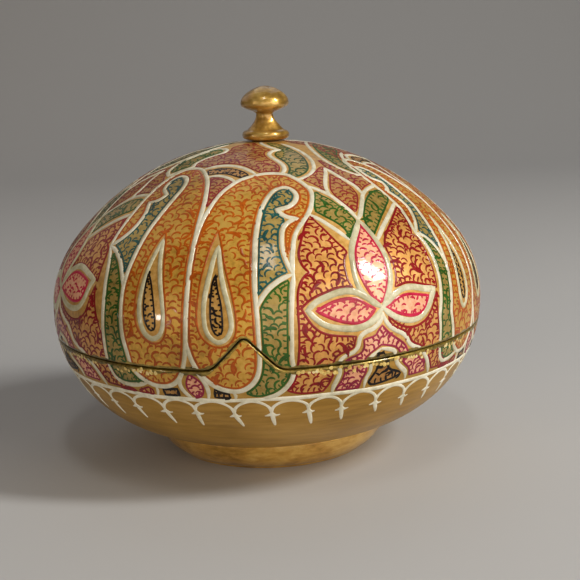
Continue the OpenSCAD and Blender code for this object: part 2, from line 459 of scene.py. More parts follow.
# ------------------------------------------------------------------ the painted pattern
# One repeat of the pattern as places on the chart, read off the box. A third
# number, 1, marks a sharp corner; the line runs smoothly through all other places.
# RUNS are strokes of raised line, and the closed FIELDS below are fields of colour.
RUNS = {
    # Left paisley: its outer side from the hook's tail over the head to the foot
    "a_outer": [
        (-44.8, 31.5, 1), (-45.1, 35), (-45.6, 44), (-46.1, 50), (-46.2, 54), (-45.7, 57),
        (-44.3, 60), (-42, 62), (-39, 63), (-35, 63.5), (-31, 63.2), (-28, 62.3), (-25, 60.8),
        (-22.5, 59.2), (-20.3, 57), (-18.5, 54.3), (-17.2, 51.3), (-16.2, 48), (-15.6, 44),
        (-15.2, 40), (-14.8, 36), (-14.5, 32), (-14.3, 28), (-14, 24), (-13.8, 20), (-13.7, 14),
        (-13.7, 10), (-13.9, 6), (-14.6, 2), (-15.6, -1), (-17.3, -3.3), (-19.5, -4.6), (-22, -4.9),
        (-24, -4.6), (-26, -3.6), (-27.8, -2.3), (-29.2, -0.6)],
    # its inner side, up round the teal leaf and back to the tail
    "a_inner": [
        (-29.2, -0.6), (-30.2, 4), (-31.2, 8), (-31.8, 12), (-32.2, 16), (-32.6, 20), (-32.7, 28),
        (-32.6, 34), (-32.3, 38), (-31.7, 42), (-31.1, 46), (-30.6, 50), (-30.4, 53), (-30.9, 55.3),
        (-32.3, 57.2), (-34.5, 58.5), (-37, 59), (-39.3, 58.8), (-41, 57.5), (-41.6, 55.2),
        (-40.5, 53), (-38.5, 51.9), (-36, 50.8, 1), (-36.8, 49.4), (-38.6, 48), (-41.6, 47.2, 1),
        (-40.2, 45.5), (-39, 43.5), (-38.7, 41), (-39.1, 38.5), (-40, 36.5), (-41.8, 34.2),
        (-44.8, 31.5, 1)],
    "a_divider": [
        (-44.6, 31.6), (-42, 30.8), (-39.5, 29.5), (-37, 27.5), (-35, 25), (-33.5, 22.5),
        (-32.7, 20.6)],
    "a_band": [
        (-44.8, 31.5), (-43, 29.5), (-41.5, 27), (-40.3, 24), (-39.5, 21), (-38.8, 18), (-38.3, 14),
        (-38, 10), (-37.7, 6), (-37.5, 2), (-37.3, 0), (-36.8, -2), (-35.8, -4), (-34.2, -5.2),
        (-32, -5.6), (-29.5, -5.4), (-27, -4.8), (-25.5, -4.2)],
    # Right paisley
    "b_outer": [
        (-14.5, 31), (-14.7, 35), (-14.6, 39), (-14.1, 43), (-13.3, 46), (-12.4, 49), (-11.3, 51.5),
        (-9.8, 53.5), (-8, 55.2), (-6, 56.8), (-3.5, 58), (0, 59.1), (3.5, 59.9), (8, 60.4),
        (12, 60.3), (15, 60), (18, 59.3), (20.5, 57.8), (22.5, 56), (24.2, 53.8), (25.2, 51.6),
        (24.9, 49.6), (24, 47.6), (22.8, 45.6), (21.5, 43.8), (20.3, 42.3), (19, 41), (17.5, 39.5),
        (16, 37.8), (14.8, 36), (14, 34), (13.5, 32), (13, 30), (12.6, 26.8), (12.6, 24.4)],
    "b_inner": [
        (-13.7, 9), (-13.1, 5), (-12.1, 2), (-11.2, 0), (-10, -1.7), (-8.3, -3.4), (-6.3, -4.7),
        (-4, -5.4), (-2, -5.5), (-0.3, -4.9), (1.2, -3.7), (2.4, -2), (3.1, 0), (3.4, 2), (3.5, 5),
        (3.4, 10), (3.3, 14), (3.1, 18), (2.9, 22), (2.9, 26), (3, 30), (3.1, 34), (3.5, 38),
        (4.2, 42), (5.4, 46), (6.5, 48), (7.9, 50), (9.8, 51.9), (12, 53.1), (14.5, 53.5),
        (17, 52.8), (18.5, 51.2), (18.7, 49.8), (17.9, 48.1), (16.3, 46.6), (14.3, 45.6),
        (12.1, 45.1), (10.6, 44.9, 1), (11.3, 43.6), (12.8, 42.4), (16.5, 41.3, 1), (14.5, 40.8),
        (13, 39.9), (11.8, 38.7), (11.1, 37.2), (10.8, 35.5), (10.6, 33.5), (10.7, 31), (11.3, 28),
        (11.9, 26.2), (12.6, 24.4)],
    "leaf_top": [
        (3.2, 16), (3.6, 17.2), (4.5, 18.8), (6, 20.8), (8, 22.5), (10, 23.7), (12.7, 24.6, 1)],
    "leaf_side": [
        (12.7, 24.6, 1), (12.1, 21.5), (11.5, 17), (11.2, 13), (11, 8), (10.9, 3), (11.2, -0.8),
        (10.8, -2.5), (10, -4), (8.8, -5.5), (7, -6.9), (5, -7.7), (3, -8.1)],
    # Flower: the petals meet at (33.9, 13.6)
    "lobe_edge": [
        (20.4, 42.6), (22, 41.6), (24, 40.1), (26, 38.1), (28, 36), (29.4, 34.2), (30.4, 32.9)],
    "petal_left": [
        (36.5, 38.9, 1), (34.8, 36.7), (33, 34.6), (31.4, 32.6), (30.2, 30.8), (29.2, 28.5),
        (28.6, 25.5), (28.3, 22.5), (28.5, 20), (29.6, 17.6), (31.2, 15.6), (33.9, 13.6, 1)],
    "petal_right": [
        (36.5, 38.9, 1), (37.6, 36), (38.5, 32.5), (39, 29), (39, 26), (38.6, 23), (37.9, 20.3),
        (36.9, 18), (35.6, 15.8), (33.9, 13.6, 1)],
    "small_left": [
        (33.9, 13.6, 1), (31.5, 15.5), (29.5, 17.2), (27.3, 18.5), (25, 19), (23, 18.8), (20, 18),
        (17.3, 16.9), (15.1, 15, 1), (16.8, 12.8), (18.5, 11.3), (20.5, 10.3), (23, 9.7), (26, 9.3),
        (28.5, 9.6), (30.8, 10.5), (32.5, 11.8), (33.9, 13.6, 1)],
    "small_right": [
        (33.9, 13.6, 1), (36, 15), (38, 16.4), (40, 17.2), (42.5, 17.5), (45, 17.1), (48, 16.2),
        (51.4, 15.6, 1), (50, 13.8), (48.6, 11.9), (47, 10.3), (45, 9.2), (42.3, 8.9), (39.5, 9.5),
        (37.3, 10.6), (35.4, 12.1), (33.9, 13.6, 1)],
    "trefoil_left": [
        (33.7, 12.4), (33.3, 10.8), (32.3, 9.6), (30.8, 8.6), (28.8, 8), (27.5, 7.1), (27, 5.8),
        (26.7, 4.5), (25.7, 3.3), (23.9, 2.6), (22.5, 1.7), (22, 0.3), (22.3, -1.5), (21.8, -3.6),
        (21, -5.6), (20.6, -7.8)],
    "trefoil_right": [
        (33.7, 12.4), (34.5, 9.8), (35.8, 8.1), (37.5, 6.9), (39.3, 5.8), (40.4, 4.4), (41.2, 2.9),
        (42.6, 1.9), (44.5, 1), (45.8, 0), (46.8, -1.3), (47.9, -2.8), (48.8, -4.5), (49.6, -6.4),
        (49.9, -7.6)],
    "bud_left": [
        (32.9, 3, 1), (31.3, 2), (30, 1), (30.3, -1), (30.2, -2.8), (29.4, -4.6), (29.1, -7.6)],
    "bud_right": [
        (32.9, 3, 1), (35, 2.5), (36.8, 1.6), (37.2, 0), (37.8, -1.8), (39.4, -3.6), (41, -5.2),
        (41.4, -7.4)],
    # Leaves and diamond above the flower
    "leaf_a_top": [
        (25.1, 53.3), (27.5, 52), (30, 50.3), (31.9, 48.6), (33.4, 46.4), (34.9, 43.7), (36, 41.2),
        (36.5, 38.9)],
    "diamond_left": [
        (41, 61.3, 1), (39, 59), (36.5, 56.8), (34, 54.3), (32.4, 52.1), (31.9, 50.3),
        (32.1, 48.4)],
    "diamond_right": [
        (41, 61.3, 1), (42.2, 58.5), (43.6, 55.7), (45.3, 53), (46.3, 50.8), (46.3, 49),
        (45.9, 47.3)],
    "leaf_b_top": [
        (57.6, 50), (54.5, 49.7), (51, 49.2), (48, 48.3), (45.9, 47.3), (43.5, 45.3), (41, 43),
        (38.8, 40.8), (36.5, 38.9)],
    "leaf_b_low": [
        (57.4, 42.5), (55, 41.4), (52, 40), (49, 38.5), (46, 36.8), (43, 34.9), (40.7, 33.1),
        (38.7, 31.3)],
    # Ring of the drop that hangs between the two paisleys
    "ring_left": [
        (-14.6, 0.8), (-15.8, -1.2), (-16.4, -3), (-16.2, -4.8), (-15.2, -6.6), (-13.7, -8.2)],
    "ring_right": [(-12.4, 1.4), (-11, -1), (-9.9, -3.2), (-9.4, -5.4), (-9.7, -8)],
    "spur": [(-3.6, -5.6), (-2.8, -6.8), (-3.1, -8.3)],
    "box_left": [(-23.3, -4.9), (-23.1, -6.4), (-23.6, -8.1)],
}

# Paisleys' white-rimmed drops: rim, black heart and the orange line round them
DROPS = {
    "a": {
        "rim": [
            (-25.1, 34.9, 1), (-25.8, 31), (-26.2, 27), (-26.5, 22), (-26.6, 18), (-26.2, 14),
            (-25.3, 11), (-24, 9), (-22.3, 8.2), (-20.7, 8.9), (-19.7, 11), (-19.6, 14),
            (-20.3, 18), (-21.4, 22), (-22.6, 26), (-23.8, 30)],
        "heart": [
            (-26, 25.5, 1), (-25.7, 22), (-25.4, 18), (-25.1, 15), (-24.6, 13), (-23.8, 11.3),
            (-22.7, 10.3), (-21.9, 10.6), (-21.7, 12.2), (-22, 14.5), (-22.6, 17.5), (-23.5, 20.5),
            (-24.6, 23.3)],
        "halo": [
            (-25.6, 37.8, 1), (-26.6, 35), (-27.4, 31), (-27.9, 26), (-28.1, 20), (-27.8, 15),
            (-26.8, 11), (-25, 8.4), (-22.5, 7), (-20.2, 7.4), (-18.9, 9.5), (-18.7, 13),
            (-19.4, 18), (-20.6, 23), (-21.9, 28), (-23.4, 33)],
    },
    "b": {
        "rim": [
            (-7.2, 33.3, 1), (-8, 30), (-8.4, 26), (-8.9, 22), (-9.3, 18), (-9.2, 14), (-8.7, 11),
            (-7.6, 9), (-6, 7.9), (-4.4, 8.4), (-3.2, 10), (-2.7, 12), (-2.9, 14.5), (-3.5, 17.5),
            (-4.5, 21), (-5.5, 25), (-6.4, 29.5)],
        "heart": [
            (-6.9, 25.2, 1), (-7.5, 23), (-7.7, 20), (-7.7, 16), (-7.5, 13), (-6.9, 10.8),
            (-6, 9.7), (-5.1, 10.1), (-4.8, 12), (-4.9, 15), (-5.3, 18), (-6.1, 21)],
        "halo": [
            (-8.2, 38.5, 1), (-9.4, 34), (-10.1, 29), (-10.7, 24), (-11, 18), (-11, 13.5),
            (-10.4, 10.4), (-9.2, 8.4), (-7.4, 7), (-5.5, 6.6), (-3.5, 7.3), (-2, 9.3), (-1.5, 12),
            (-1.7, 15), (-2.2, 18), (-3, 21.5), (-4.2, 25.5), (-5.3, 29.5), (-6.3, 33.5)],
    },
}

# Closed fields given directly: family of paint and outline
FIELDS = [
    ("crimson", [
        (20.7, 42, 1), (22, 39.8), (23.5, 37.5), (25, 34.8), (26.5, 32.2), (27.7, 30.4), (28, 29.4),
        (27.2, 28.4), (26.5, 27), (26.1, 25), (26, 23), (26.3, 21), (26.9, 19.8, 1), (25, 20.1),
        (22.5, 20), (20, 19.2), (17.5, 18.4), (15.5, 17.3), (13.6, 15.6, 1), (14.6, 13.4),
        (16, 11.1), (17.6, 9.5), (19.5, 8.5), (22, 7.9), (24.5, 7.5), (26.3, 7.2, 1), (25.9, 5.8),
        (25.6, 4.5), (24.2, 3.9), (22.4, 3.3), (21, 2.3), (20.6, 0.8), (20.8, -1.2), (20.2, -3.4),
        (19.3, -5.4), (18.3, -6.8, 1), (15.5, -7), (12, -6.7), (9.8, -5.8, 1), (10.9, -4),
        (11.7, -2), (12.1, 0.5), (12.5, 4), (12.8, 10), (12.9, 16), (13.3, 20), (14.1, 22.2),
        (15.2, 23.7), (16.6, 24.8, 1), (15.5, 26.2), (14.8, 28), (14.8, 30.5), (15.7, 33), (17, 36),
        (18.7, 39.2)]),
    ("pink", [
        (36.2, 37.5, 1), (34.9, 35.6), (33.4, 33.4), (31.8, 31.2), (30.6, 29.2), (30, 27.2),
        (29.7, 25), (29.8, 22.8), (30.3, 20.4), (31.2, 18), (32.3, 16), (33.7, 15.1), (35, 16.2),
        (36.2, 18.6), (37.2, 21.6), (37.9, 25), (38.1, 27.6), (37.8, 30.5), (37.2, 33.8)]),
    ("pink", [
        (17.2, 14.7, 1), (19, 15.6), (21, 16.4), (23.5, 16.9), (26, 16.9), (28, 16.2), (29.8, 14.9),
        (31.9, 13.5, 1), (30.6, 12.2), (29, 11), (27, 10.6), (24.5, 11), (22, 11.9), (19.5, 13.2)]),
    ("pink", [
        (34.8, 13.4, 1), (37, 14.4), (39, 15.3), (41, 15.7), (43, 15.6), (45.5, 15),
        (48.8, 14.2, 1), (48.1, 12.8), (47.1, 11.5), (45.8, 10.5), (44, 10.1), (42, 10.2),
        (39.7, 10.9), (37.3, 12)]),
    ("crimson", [
        (38.8, 18.3, 1), (39.6, 20), (40.3, 22.5), (40.6, 25), (40.5, 27.5), (40.6, 29.4),
        (41.5, 31.3), (43, 32.8), (45, 34.4), (47.5, 36), (50, 37.6), (53, 39.2), (56.2, 40.8, 1),
        (55.8, 38), (55.1, 35.4), (54.2, 33.2), (53, 31.7, 1), (54.2, 30.3), (54.3, 28.4), (54, 25),
        (53.5, 21), (53.1, 18), (52.7, 15.9, 1), (50, 16.7), (47, 17.7), (44.5, 18.5), (42, 18.8),
        (40.2, 18.5)]),
    ("crimson", [
        (52.1, 14.6, 1), (50.8, 12.6), (49.3, 10.6), (47.8, 8.9), (46, 7.8), (44, 7.2), (42, 7.1),
        (39.8, 7.6), (37.6, 8.8), (35.2, 11.2, 1), (36, 9), (37.9, 7.5), (40, 6.4), (41.2, 5),
        (42, 3.4), (43.2, 2.5), (45, 1.6), (46.5, 0.4), (47.6, -0.9), (48.8, -2.6), (49.8, -4.4),
        (50.8, -6.4, 1), (54, -6.6), (57, -6.8), (59.5, -7.2, 1), (57, -5.9), (55, -4.3),
        (53.6, -2.2), (52.6, 0), (52, 3), (51.6, 6), (51.4, 9), (51.6, 12)]),
    ("rose", [
        (33.3, 9, 1), (32.2, 7.9), (31.5, 6.9), (30, 6.4), (28.3, 6), (28.4, 4.5), (27.8, 3),
        (26, 2.1), (24.2, 1.5), (23.2, 0.4), (23.6, -1.5), (23.1, -3.8), (22.2, -5.6),
        (21.6, -7, 1), (24.5, -7.2), (27.6, -7.3, 1), (28, -5), (29, -2.8), (28.9, -0.8), (28.6, 1),
        (29.8, 2.2), (31.4, 3.2), (32.9, 4.1, 1), (35, 3.6), (37, 2.8), (38.4, 1.2), (39, -0.8),
        (40.4, -2.6), (42, -4.2), (42.6, -6.4, 1), (45, -6.5), (48, -6.4, 1), (47.4, -4.6),
        (46.2, -2.9), (44.4, -1.4), (42, -0.3), (40.8, 1), (39.8, 2.8), (38.4, 4.1), (36.6, 5.5),
        (34.7, 7.2)]),
    ("black", [
        (32.2, -0.9, 1), (33.6, -0.8), (35.2, -0.9, 1), (35.3, -2.6), (36.4, -3.6), (38.2, -4.3),
        (39.4, -5.1, 1), (38, -5.9), (35.5, -6.5), (33, -6.9), (31, -6.9), (30.2, -6), (30.9, -4.6),
        (31.9, -3)]),
    ("black", [(31.4, 0.7, 1), (32.6, 1.7), (33.6, 2.1, 1), (33.7, 1.3), (32.8, 0.6)]),
    ("green", [
        (26.6, 50.5, 1), (28.3, 49), (30.2, 47.6), (31.7, 45.9), (33.2, 43.6), (34.5, 41.2),
        (35.3, 39.3), (35.2, 38.2), (33.5, 36.9), (32, 35.4), (30.6, 33.5, 1), (30.7, 35.4),
        (30, 37.3), (28.6, 39), (26.6, 40.7), (23.5, 43.2, 1), (24, 45.6), (25.2, 48.2)]),
    ("green", [
        (38.8, 33.4, 1), (38.4, 36), (38.8, 38.3), (40, 40.6), (42, 42.6), (44.2, 44.4), (46.8, 46),
        (49.5, 47.1), (52.5, 47.8), (55.3, 48), (57, 47.4, 1), (57.1, 45.4), (55, 43.6), (52, 42.2),
        (49, 40.6), (46, 38.9), (43.3, 37), (41, 35.2)]),
    ("wine", [
        (39.6, 57.3, 1), (37, 54.8), (35, 52.6), (33.8, 50.6), (33.8, 48.8), (34.7, 46.5), (36, 44),
        (37.4, 41.6, 1), (38.8, 42.8), (40.6, 44.6), (42.4, 46.5), (43.6, 48.4), (43.8, 50.4),
        (43, 53), (41.5, 55.6)]),
    ("wine", [
        (25.1, 55.9, 1), (27.4, 54.5), (29.6, 52.6), (31.2, 51), (32, 52.8), (34, 55), (36.5, 57.5),
        (38.8, 59.6), (40.2, 61.8, 1), (37, 60.9), (33.5, 59.4), (30, 58.1), (27.2, 57.2)]),
    ("wine", [
        (42.6, 61.6, 1), (43.6, 58.4), (45, 55.7), (46.8, 53), (47.7, 50.8), (47.6, 49.2, 1),
        (50, 50.1), (54, 50.9), (57, 51.2, 1), (57.3, 54), (55.2, 56.4), (52, 58), (48.5, 60.6),
        (45.5, 63.6), (43.4, 65.4, 1)]),
    ("wine", [
        (-14.4, 46.6, 1), (-13.2, 50), (-11.6, 53.1), (-9.5, 55.4), (-7.8, 56.6, 1), (-10.6, 58),
        (-15, 59.1), (-20, 59, 1), (-18.2, 56.4), (-16.6, 53), (-15.3, 49.6)]),
    ("rose", [
        (-13.6, -0.9, 1), (-14.5, -2.8), (-14.6, -4.8), (-13.6, -6.7), (-12.2, -7.7), (-11.1, -6.8),
        (-10.6, -4.8), (-11, -3), (-12.2, -1.8)]),
    ("square", [
        (-21.3, -5.7, 1), (-19.2, -5.5), (-17.4, -5.3, 1), (-17.2, -7.2, 1), (-19, -7.4),
        (-21.1, -7.4, 1)]),
    ("black", [
        (-7.7, -5, 1), (-6, -5.9), (-4.4, -6.4, 1), (-4.3, -7.4, 1), (-6, -7.5), (-7.9, -7.3, 1)]),
    ("crimson", [
        (-28.8, -7.5, 1), (-27.4, -6.4), (-25.6, -5.6, 1), (-24.6, -6.2), (-24.5, -7.5, 1)]),
    ("crimson", [(-35.3, -7.2, 1), (-33.4, -6.9), (-31, -6.8), (-29.8, -7.4, 1), (-32, -7.5)]),
]

# The crown's part, as millimetres right of and behind the pole on the rolled-out chart
CROWN_RUNS = {
    "crescent_top": [
        (-13.7, -25, 1), (-10, -24.6), (-6, -25.5), (-3, -27.1), (-0.5, -29.1), (1.4, -31.1)],
    "crescent_low": [(-12.4, -30.1), (-9, -30.5), (-6.5, -32), (-4.7, -33.7), (-3.6, -35.2)],
    "s_left": [
        (0.6, -5), (1, -7.5), (2.4, -10.4), (4.4, -12.9), (6.6, -14.7, 1), (5.2, -15.6),
        (4.3, -17.3), (4.3, -19.4), (5.5, -21.5), (7.4, -23.8), (8.9, -26.4), (9.1, -28.8),
        (8.3, -30.8)],
    "s_right": [
        (6.6, -7.4), (9.8, -10.8), (13, -14.5), (15.3, -18), (16.7, -21.6), (17.1, -25.4),
        (16.4, -28.6), (14.8, -30.9), (12.9, -32.5)],
}
CROWN_FIELDS = [
    ("smoke", [
        (-12.3, -26.6, 1), (-9.5, -26.3), (-6.4, -27), (-3.6, -28.5), (-1.3, -30.5),
        (-0.6, -31.6, 1), (-2.6, -32.6, 1), (-4.4, -31.4), (-7, -29.8), (-9.6, -29.1),
        (-11.9, -28.9, 1)]),
    ("moss", [
        (2.6, -7.6, 1), (3.9, -10), (5.8, -12.2), (8.2, -14.7, 1), (6.4, -16.3), (5.9, -18.2),
        (6.6, -20.4), (8.6, -22.8), (10.2, -25.4), (10.7, -28), (10.3, -30.8, 1), (12.4, -31),
        (14.3, -29.2), (15.4, -26.4), (15, -22.2), (13.5, -18.4), (11, -14.6), (7.8, -10.8),
        (4.9, -7.8)]),
    ("wine", [
        (-12.4, -23.8, 1), (-8.6, -23.5), (-5, -24.5), (-2, -26.2), (0.4, -28.4), (2.6, -30.2, 1),
        (5, -29.6), (7.6, -29.4, 1), (7.7, -27), (6.4, -24.6), (4.2, -22), (3, -19.6), (2.8, -17),
        (4.2, -15.2, 1), (1.9, -12.6), (-0.2, -9.4), (-1, -6.8, 1), (-4.2, -8), (-6.8, -10.4),
        (-7, -12.9), (-7.9, -15.2), (-11, -16.5), (-14.2, -18), (-16.2, -20), (-16.2, -22, 1)]),
]
# Leaf over the left paisley's head, and the one that takes its place in the next repeat
TOP_LEAF_A = [
    (-17.2, -21.2, 1), (-16.8, -19.4), (-14.8, -17.6), (-11.8, -16.2), (-9.2, -14.9), (-8.3, -12.8),
    (-9, -10.8), (-11, -9.4), (-16, -10.6), (-20, -12.4), (-23.6, -15), (-25.2, -18.4),
    (-24.4, -21.7, 1)]
TOP_LEAF_B_LOW = [
    (13, 5), (13.4, -2), (14.8, -8), (16.6, -12.7), (19.1, -16.8), (22, -19.5), (25.2, -20.8),
    (28.6, -20.8), (31.4, -19.7)]
TOP_LEAF_B_UP = [(24, -4), (24.4, -10), (25.8, -13.9), (28.4, -15.8), (31.3, -15.9)]
TOP_LEAF_B_FIELD = [
    (15.3, -1, 1), (16.3, -7), (18.1, -12), (20.7, -16), (23.4, -18.4), (26, -19.3), (28.8, -19.2),
    (30.5, -18.4, 1), (30.4, -17.3, 1), (27.6, -17.1), (25, -15.6), (23.2, -12.4), (22.6, -7),
    (22.4, -3, 1), (19, -0.6)]


# ------------------------------------------------------------------ laying out the paint
# Millimetres between the places along a drawn line, and between a field's inner corners
LINE_STEP, FIELD_GRAIN = 0.8, 1.8
# Height of a row in a grid of even triangles, as a share of their side
TRIANGLE_ROW = 0.87
# How the paint has flaked off the rims, as waves round the box: (rate, millimetres). On
# the bowl the waves lie elsewhere and are stronger, and reach this far over the rim.
FLAKES = [(0.55, 0.16), (1.35, 0.15), (2.9, 0.11), (6.1, 0.07)]
BOWL_SHIFT, BOWL_FLAKES, BOWL_OVER = 1.9, 1.7, -0.4
# Distances from a rim: within the first, past its bare edge, painted faces are cut to
# follow it, and they are cut through at the others, so that they bend over with it
CUT_REACH, BEND_AT = 1.2, (0.3, RIM_ROUND)
# Anchors of the pattern's repeats: the left outer line, the line between the paisleys,
# the right one's outer side, the flower's middle and the next repeat's left outer line,
# low down beside the parting line and high up beside the crown.
LOW_AT, HIGH_AT = 8.0, 40.0
FRONT_LOW = (-37.8, -13.8, 10.9, 33.0, 52.2)
FRONT_HIGH = (-45.5, -14.7, 12.5, 36.5, 57.5)
REPEATS = [
    (FRONT_LOW, FRONT_HIGH),
    ((52.2, 71.0, 95.0, 119.0, 142.2), (57.5, 79.5, 103.0, 124.0, 143.2)),
    ((142.2, 165.0, 189.0, 212.0, 232.2), (143.2, 168.0, 191.0, 212.0, 228.8)),
    ((232.2, 256.0, 279.0, 297.0, 322.2), (228.8, 254.0, 276.0, 294.0, 314.5)),
]
# Degrees past its outermost anchors over which a repeat's own scale still holds
BEYOND = 30.0
# How much higher each repeat's right small petal is drawn than the front one's, and the
# middle (turn, climb) and the reach of that lift on the chart
PETAL_LIFTS = (0.0, 1.5, -1.2, 7.0)
LIFT_MIDDLE, LIFT_REACH = (46.0, 16.0), (9.0, 6.5)
# Turn of the second top leaf's place in the fourth repeat
TOP_LEAF_B_TURN = 172.0


def into_repeat(turn, climb, k):
    """Moves places of the front repeat into another one, which is drawn a little
    wider or narrower, as a hand-painted repeat is."""
    turn, climb = np.asarray(turn, float), np.asarray(climb, float)
    if k == 0:
        return turn
    high = np.clip((climb - LOW_AT) / (HIGH_AT - LOW_AT), 0, 1)
    out = np.empty_like(turn)
    for i, (t, h) in enumerate(zip(turn, high)):
        src = np.array(FRONT_LOW) * (1 - h) + np.array(FRONT_HIGH) * h
        dst = np.array(REPEATS[k][0]) * (1 - h) + np.array(REPEATS[k][1]) * h
        size = (dst[-1] - dst[0]) / (src[-1] - src[0])
        src = np.concatenate([[src[0] - BEYOND], src, [src[-1] + BEYOND]])
        dst = np.concatenate([[dst[0] - BEYOND * size], dst, [dst[-1] + BEYOND * size]])
        out[i] = np.interp(t, src, dst)
    return out


def smooth_line(points, closed, step):
    """A line drawn smoothly through points, with an angle only at marked corners."""
    flags = [len(p) > 2 for p in points]
    xy = np.array([p[:2] for p in points], float)
    n = len(xy)
    if closed:
        first = flags.index(True) if any(flags) else 0
        order = [(first + i) % n for i in range(n)]
        xy, flags = xy[order], [flags[i] for i in order]
        ring = not any(flags)
        xy = np.vstack([xy, xy[:1]])
        flags = flags + [flags[0]]
    else:
        ring = False
    last = len(xy) - 1
    seg = np.hypot(*np.diff(xy, axis=0).T)
    way = []
    for i in range(last + 1):
        if ring:
            before, after = (i - 1) % last, (i + 1) % last
            sb, sa = seg[(i - 1) % last], seg[i % last]
        elif i in (0, last) or flags[i]:
            way.append(None)
            continue
        else:
            before, after, sb, sa = i - 1, i + 1, seg[i - 1], seg[i]
        back, fwd = (xy[i] - xy[before]) / sb, (xy[after] - xy[i]) / sa
        way.append((back * sa + fwd * sb) / (sa + sb))
    out = []
    for i in range(last):
        p, q, length = xy[i], xy[i + 1], seg[i]
        m0, m1 = way[i], way[i + 1]
        straight = (q - p) / length
        if m0 is None:
            m0 = straight if m1 is None else 1.5 * straight - 0.5 * m1
        if m1 is None:
            m1 = straight if way[i] is None else 1.5 * straight - 0.5 * m0
        count = max(1, round(length / step))
        t = np.arange(count)[:, None] / count
        out.append((2 * t**3 - 3 * t**2 + 1) * p + (t**3 - 2 * t**2 + t) * m0 * length
                   + (3 * t**2 - 2 * t**3) * q + (t**3 - t**2) * m1 * length)
    if not closed:
        out.append(xy[-1:])
    return np.vstack(out)


def on_chart(points, closed, step, crown=False):
    """A drawn line's places as turn and climb, from chart or crown coordinates."""
    line = smooth_line(points, closed, step)
    return unflat(line) if crown else (line[:, 0], line[:, 1])


def near_turn(turn, middle):
    """The same turns, counted so that they lie within half a turn of a middle one."""
    return (turn - middle + 180) % 360 - 180 + middle


def twice_area(xy):
    """Twice the area within a closed loop, negative where the loop runs clockwise."""
    return np.sum(xy[:, 0] * np.roll(xy[:, 1], -1) - np.roll(xy[:, 0], -1) * xy[:, 1])


def nearest(points, others):
    """Distance of each point from the nearest of the others."""
    return np.linalg.norm(points[:, None] - others[None], axis=2).min(1)


def inset_loop(turn, climb, gap):
    """The closed line that runs at a gap inside another one."""
    ring = on_box(turn, climb, -PAINT_T)
    tangent = np.roll(ring, -1, 0) - np.roll(ring, 1, 0)
    side = np.cross(facing(turn, climb), tangent)
    side /= np.linalg.norm(side, axis=1, keepdims=True) + 1e-9
    moved = ring + side * (gap if twice_area(flat(turn, climb)) > 0 else -gap)
    # Where the line turns sharply, what comes too near another part of it is dropped
    t, c, _ = chart_of(moved[nearest(moved, ring) > gap * 0.97])
    return near_turn(t, np.median(turn)), c


def inside(xy, loops):
    """Which points lie inside an odd number of closed loops."""
    odd = np.zeros(len(xy), bool)
    for loop in loops:
        a, b = loop, np.roll(loop, -1, 0)
        y = xy[:, 1:2]
        crosses = (a[:, 1] > y) != (b[:, 1] > y)
        with np.errstate(divide="ignore", invalid="ignore"):
            x = a[:, 0] + (y - a[:, 1]) / (b[:, 1] - a[:, 1]) * (b[:, 0] - a[:, 0])
        odd ^= (np.sum(crosses & (xy[:, 0:1] < x), axis=1) % 2).astype(bool)
    return odd


def patch(loops):
    """Triangles that fill closed loops given as (turn, climb), with the distance of
    each corner from the nearest loop."""
    flats = [flat(t, c) for t, c in loops]
    edge = np.vstack([on_box(t, c) for t, c in loops])
    low, high = np.vstack(flats).min(0), np.vstack(flats).max(0)
    ys = np.arange(low[1], high[1], FIELD_GRAIN * TRIANGLE_ROW)
    grid = np.array([(x + (FIELD_GRAIN / 2 if j % 2 else 0), y) for j, y in enumerate(ys)
                     for x in np.arange(low[0], high[0], FIELD_GRAIN)]).reshape(-1, 2)
    grid = grid[inside(grid, flats)]
    if len(grid):
        grid = grid[nearest(on_box(*unflat(grid)), edge) > FIELD_GRAIN * 0.5]
    points = np.vstack(flats + [grid])
    borders, start = [], 0
    for f in flats:
        borders += [(start + i, start + (i + 1) % len(f)) for i in range(len(f))]
        start += len(f)
    verts, _, faces, *_ = delaunay_2d_cdt(
        [Vector(p) for p in points], borders, [], 0, 1e-5, False)
    verts = np.array([v[:] for v in verts])
    faces = np.array(faces, int)
    faces = faces[inside(verts[faces].mean(1), flats)]
    used, faces = np.unique(faces, return_inverse=True)
    turn, climb = unflat(verts[used])
    return turn, climb, faces.reshape(-1, 3), nearest(on_box(turn, climb), edge)


def cut(verts, faces, value, level):
    """Cuts faces along a line where a value at their corners meets a level."""
    verts, value = list(verts), list(value)
    made, out = {}, []

    def meeting(a, b):
        key = (a, b) if a < b else (b, a)
        if key not in made:
            t = (level - value[a]) / (value[b] - value[a])
            made[key] = len(verts)
            verts.append(verts[a] + (verts[b] - verts[a]) * t)
            value.append(level)
        return made[key]

    for f in faces:
        signs = [value[i] - level for i in f]
        if min(signs) >= -1e-9 or max(signs) <= 1e-9:
            out.append(f)
            continue
        over, under = [], []
        for i, a in enumerate(f):
            b = f[(i + 1) % len(f)]
            va, vb = value[a] - level, value[b] - level
            if va >= 0:
                over.append(a)
            if va <= 0:
                under.append(a)
            if va * vb < 0:
                m = meeting(a, b)
                over.append(m)
                under.append(m)
        out += [tuple(p) for p in (over, under) if len(set(p)) > 2]
    return verts, out, value


def ragged(turn, climb, body):
    """How much further the paint has flaked off a rim than usual, in millimetres."""
    way = np.radians(turn) * BODY_R
    shift = 0.0 if body == "lid" else BOWL_SHIFT
    flaked = sum(size * np.sin(way * rate + climb * rate * 0.7 + shift * (i + 1))
                 for i, (rate, size) in enumerate(FLAKES))
    return flaked if body == "lid" else np.maximum(flaked * BOWL_FLAKES, BOWL_OVER)


